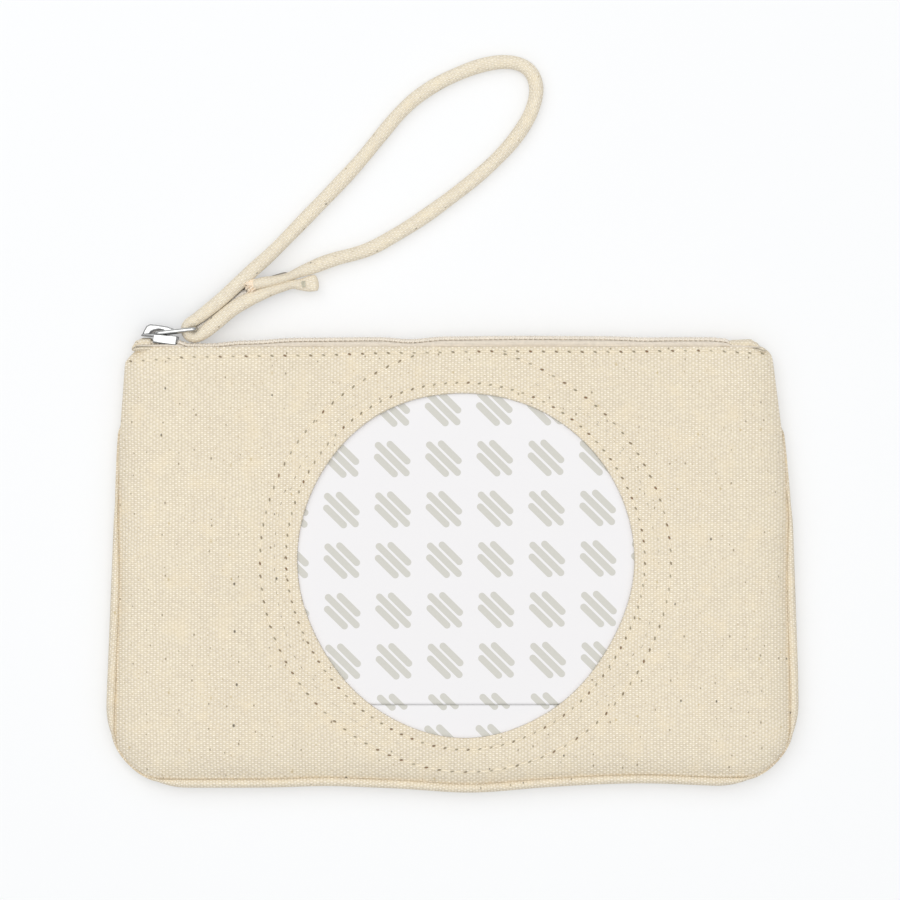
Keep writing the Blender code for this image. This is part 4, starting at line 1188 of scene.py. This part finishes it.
def inset(outline, distance):
    """The same outline drawn in by a distance, in millimetres."""
    points = np.array(outline, float)
    ahead = np.roll(points, -1, axis=0) - points
    ahead /= np.linalg.norm(ahead, axis=1)[:, None]
    x, y = points.T
    area = np.sum(x * np.roll(y, -1) - np.roll(x, -1) * y)
    normal = np.stack([-ahead[:, 1], ahead[:, 0]], axis=1) * np.sign(area)
    before = np.roll(normal, 1, axis=0)
    reach = distance / np.maximum(1 + np.sum(normal * before, axis=1), 0.5)
    return [tuple(point) for point in points + (normal + before) * reach[:, None]]


def plates(name, layers, rounding, material, node, body):
    """Flat metal blanks with rounded edges, as one piece. Layers are (outline, low z, high z)."""
    bm = bmesh.new()
    for outline, low, high in layers:
        bottom = [bm.verts.new((x * MM, y * MM, low * MM)) for x, y in outline]
        face = bm.faces.new(bottom)
        made = bmesh.ops.extrude_face_region(bm, geom=[face])
        top = [item for item in made["geom"] if isinstance(item, bmesh.types.BMVert)]
        bmesh.ops.translate(bm, verts=top, vec=(0, 0, (high - low) * MM))
    bmesh.ops.recalc_face_normals(bm, faces=bm.faces)
    mesh = bpy.data.meshes.new(name)
    bm.to_mesh(mesh)
    bm.free()
    obj = add_object(name, mesh, material)
    edge = obj.modifiers.new("Rounded", "BEVEL")
    edge.width = rounding
    edge.segments = 4
    edge.limit_method = "ANGLE"
    edge.angle_limit = math.radians(28)
    apply_modifiers(obj)
    obj.data.shade_smooth()
    stands_for(obj, node, body)


def build_slider(nickel, shaded, steel):
    middle = MID_Z / MM
    low, high = middle - 4.3, middle + 4.3
    # The body and the bridge's rim use the darker nickel as painted shade; the flange and bridge faces
    # on top are the lit nickel.
    plates("slider_shell", [
        (ROOF_MM, low + 0.3, high - 0.3), (FLANGE_MM, high - 0.9, high - 0.1),
        (FLANGE_MM, low + 0.1, low + 0.9), (FOOT_MM, low + 1.9, high - 1.9),
        (POST_MM, middle - 0.6, middle + 0.6),
    ], 0.2 * MM, shaded, "slider_body", "slider")
    face = [(x - 0.1, y + 0.08) for x, y in inset(FLANGE_MM, 0.2)]
    plates("slider_flange_faces", [(face, high - 0.3, high + 0.1), (face, low - 0.1, low + 0.3)],
           0.1 * MM, nickel, None, "slider")
    plates("slider_bridge", [(CAP_MM, middle - 2.1, middle + 2.1)], 0.16 * MM, shaded,
           "slider_cap", "slider")
    face = inset(CAP_MM, 0.32)
    plates("slider_bridge_faces", [
        (face, middle + 1.9, middle + 2.25), (face, middle - 2.25, middle - 1.9),
    ], 0.1 * MM, nickel, None, "slider")
    plates("lock_leaf", [(LEAF_MM, middle - 1.9, middle + 1.6)], 0.12 * MM, steel,
           "slider_lock_spring", "slider")


def build_stops(material):
    """Small crimped stops, hidden in the folded scraps at both ends of the chain."""
    for node, body, x, y, reach in (
        ("zipper_top_stop_front", MOUTH, (-94.6, -93.8), (66.9, 67.9), (0.6, 2.8)),
        ("zipper_top_stop_back", "back", (-94.6, -93.8), (66.9, 67.9), (-2.8, -0.6)),
        ("zipper_bottom_stop", "back", (82.9, 83.9), (66.0, 67.3), (-2.8, 2.8)),
    ):
        outline = [(x[0], y[0]), (x[1], y[0]), (x[1], y[1]), (x[0], y[1])]
        low, high = (MID_Z / MM + out for out in reach)
        plates(node + "_crimp", [(outline, low, high)], 0.2 * MM, material, node, body)


def build_ring(material):
    """Wire loop seen edge-on: from the slider's bridge to the bar that holds the strap."""
    pivot = np.array(JOINTS["ring_swing"]["pos_m"])
    out = unit(RING_BAR - pivot)
    length = float(np.linalg.norm(RING_BAR - pivot)) + 0.4 * MM
    corner, half = 0.9 * MM, 3.7 * MM
    points = []
    for quarter, (x, z) in enumerate((
        (length - corner, half - corner), (corner, half - corner),
        (corner, corner - half), (length - corner, corner - half),
    )):
        for step in range(7):
            a = math.radians(90 * quarter + 15 * step)
            points.append(pivot + out * (x + corner * math.cos(a))
                          + np.array([0, 0, z + corner * math.sin(a)]))
    path = np.array(points)
    tangent = unit(np.roll(path, -1, axis=0) - np.roll(path, 1, axis=0))
    flat = np.cross(out, [0, 0, 1.0])
    inner = np.cross(tangent, flat)
    turn = around(16)[None, :, None]
    rings = path[:, None] + 0.66 * MM * (np.cos(turn) * flat + np.sin(turn) * inner[:, None])
    rings = np.vstack([rings, rings[:1]])
    ring = grid_object("ring_wire", rings, rings[..., :2], material, wrap=True)
    weld = ring.modifiers.new("Weld", "WELD")
    weld.merge_threshold = 0.01 * MM
    apply_modifiers(ring)
    face_outward(ring.data)
    stands_for(ring, "pull_ring", "pull_ring")


def build_tab(material):
    """Long narrow tab under the strap's two strands: only its rolled edges show."""
    steps = np.linspace(0, 1, 60)
    heading = np.radians(41.0 - 28.0 * steps)
    run = 33.5 * MM
    x = RING_BAR[0] + np.r_[0, np.cumsum(np.cos(heading[:-1]))] * run * steps[1]
    y = RING_BAR[1] + np.r_[0, np.cumsum(np.sin(heading[:-1]))] * run * steps[1]
    z = 3.3 * MM - steps * run * math.tan(math.radians(3.4))
    half = (2.2 + 0.55 * smoothstep(steps, 0.1, 0.4)) * MM
    from_end = np.minimum(1, np.minimum(steps * run + 1.9 * MM, (1 - steps) * run) / (2.2 * MM))
    half = half * np.sqrt(np.clip(1 - (1 - from_end) ** 2, 0.002, 1))
    side = np.stack([-np.sin(heading), np.cos(heading), 0 * heading], axis=1)
    turn = around(24)
    profile = np.stack([squared_off(np.cos(turn), 0.35), squared_off(np.sin(turn), 0.8) * 0.5 * MM], 1)
    path = np.column_stack([x, y, z])
    rings = np.stack([path + side * (half * across)[:, None] + [0, 0, up]
                      for across, up in profile], axis=1)
    tab = grid_object("tab_blade", rings, rings[..., :2], material, wrap=True)
    face_outward(tab.data, len(profile))
    stands_for(tab, "pull_tab", "pull_tab")


# ---------------------------------------------------------------- assembly

def build():
    build_stage()
    strap_cloth = strap_material("strap_cotton")
    thread = plain_material("thread_cotton", (0.91, 0.815, 0.645), 0.75, 0.05 * MM, 5000.0)
    tack_thread = plain_material("thread_olive", (0.60, 0.57, 0.45), 0.75, 0.05 * MM, 5000.0)
    build_strap(strap_cloth, frayed_material("raw_yarn"), tack_thread)

    front_canvas = canvas_material("canvas_stitched", True)
    back_canvas = canvas_material("canvas_plain", False)
    tab_canvas = canvas_material("canvas_scrap", False)
    build_front(front_canvas)
    build_back(back_canvas)
    build_stitching(thread)
    build_papers(paper_material("release_paper"))
    tape = tape_material("zip_tape_cloth")
    coil = plain_material("zip_nylon", (0.84, 0.765, 0.655), 0.5, 0.01 * MM, 3000.0)
    for label, side, body in (("front", 1, MOUTH), ("back", -1, "back")):
        build_tape(label, side, body, tape)
        build_coil(label, side, body, coil)

    nickel = metal_material("nickel_plate", (0.56, 0.56, 0.55), 0.15)
    steel = metal_material("spring_steel", (0.16, 0.15, 0.14), 0.45)
    build_stops(nickel)
    # A darker copy of the nickel: painted shade for the slider's body and the rim of its bridge.
    build_slider(nickel, metal_material("nickel_painted_shade", (0.20, 0.20, 0.20), 0.25), steel)
    build_ring(nickel)
    # The tab's nickel is darkened as painted shade, for its place under the strap's strands.
    build_tab(metal_material("tab_nickel_painted_shade", (0.33, 0.30, 0.26), 0.28))
    build_end_tabs(tab_canvas)
    build_facing(back_canvas)
    felt = plain_material("stiff_felt", (0.80, 0.78, 0.72), 0.95, 0.1 * MM)
    build_disc("backing_disc", "insert_backing", 0.55 * MM, felt)
    film = plain_material("tacky_film", (0.85, 0.85, 0.80), 0.25)
    build_disc("adhesive_disc", "adhesive_sheet", 0.15 * MM, film)


build()
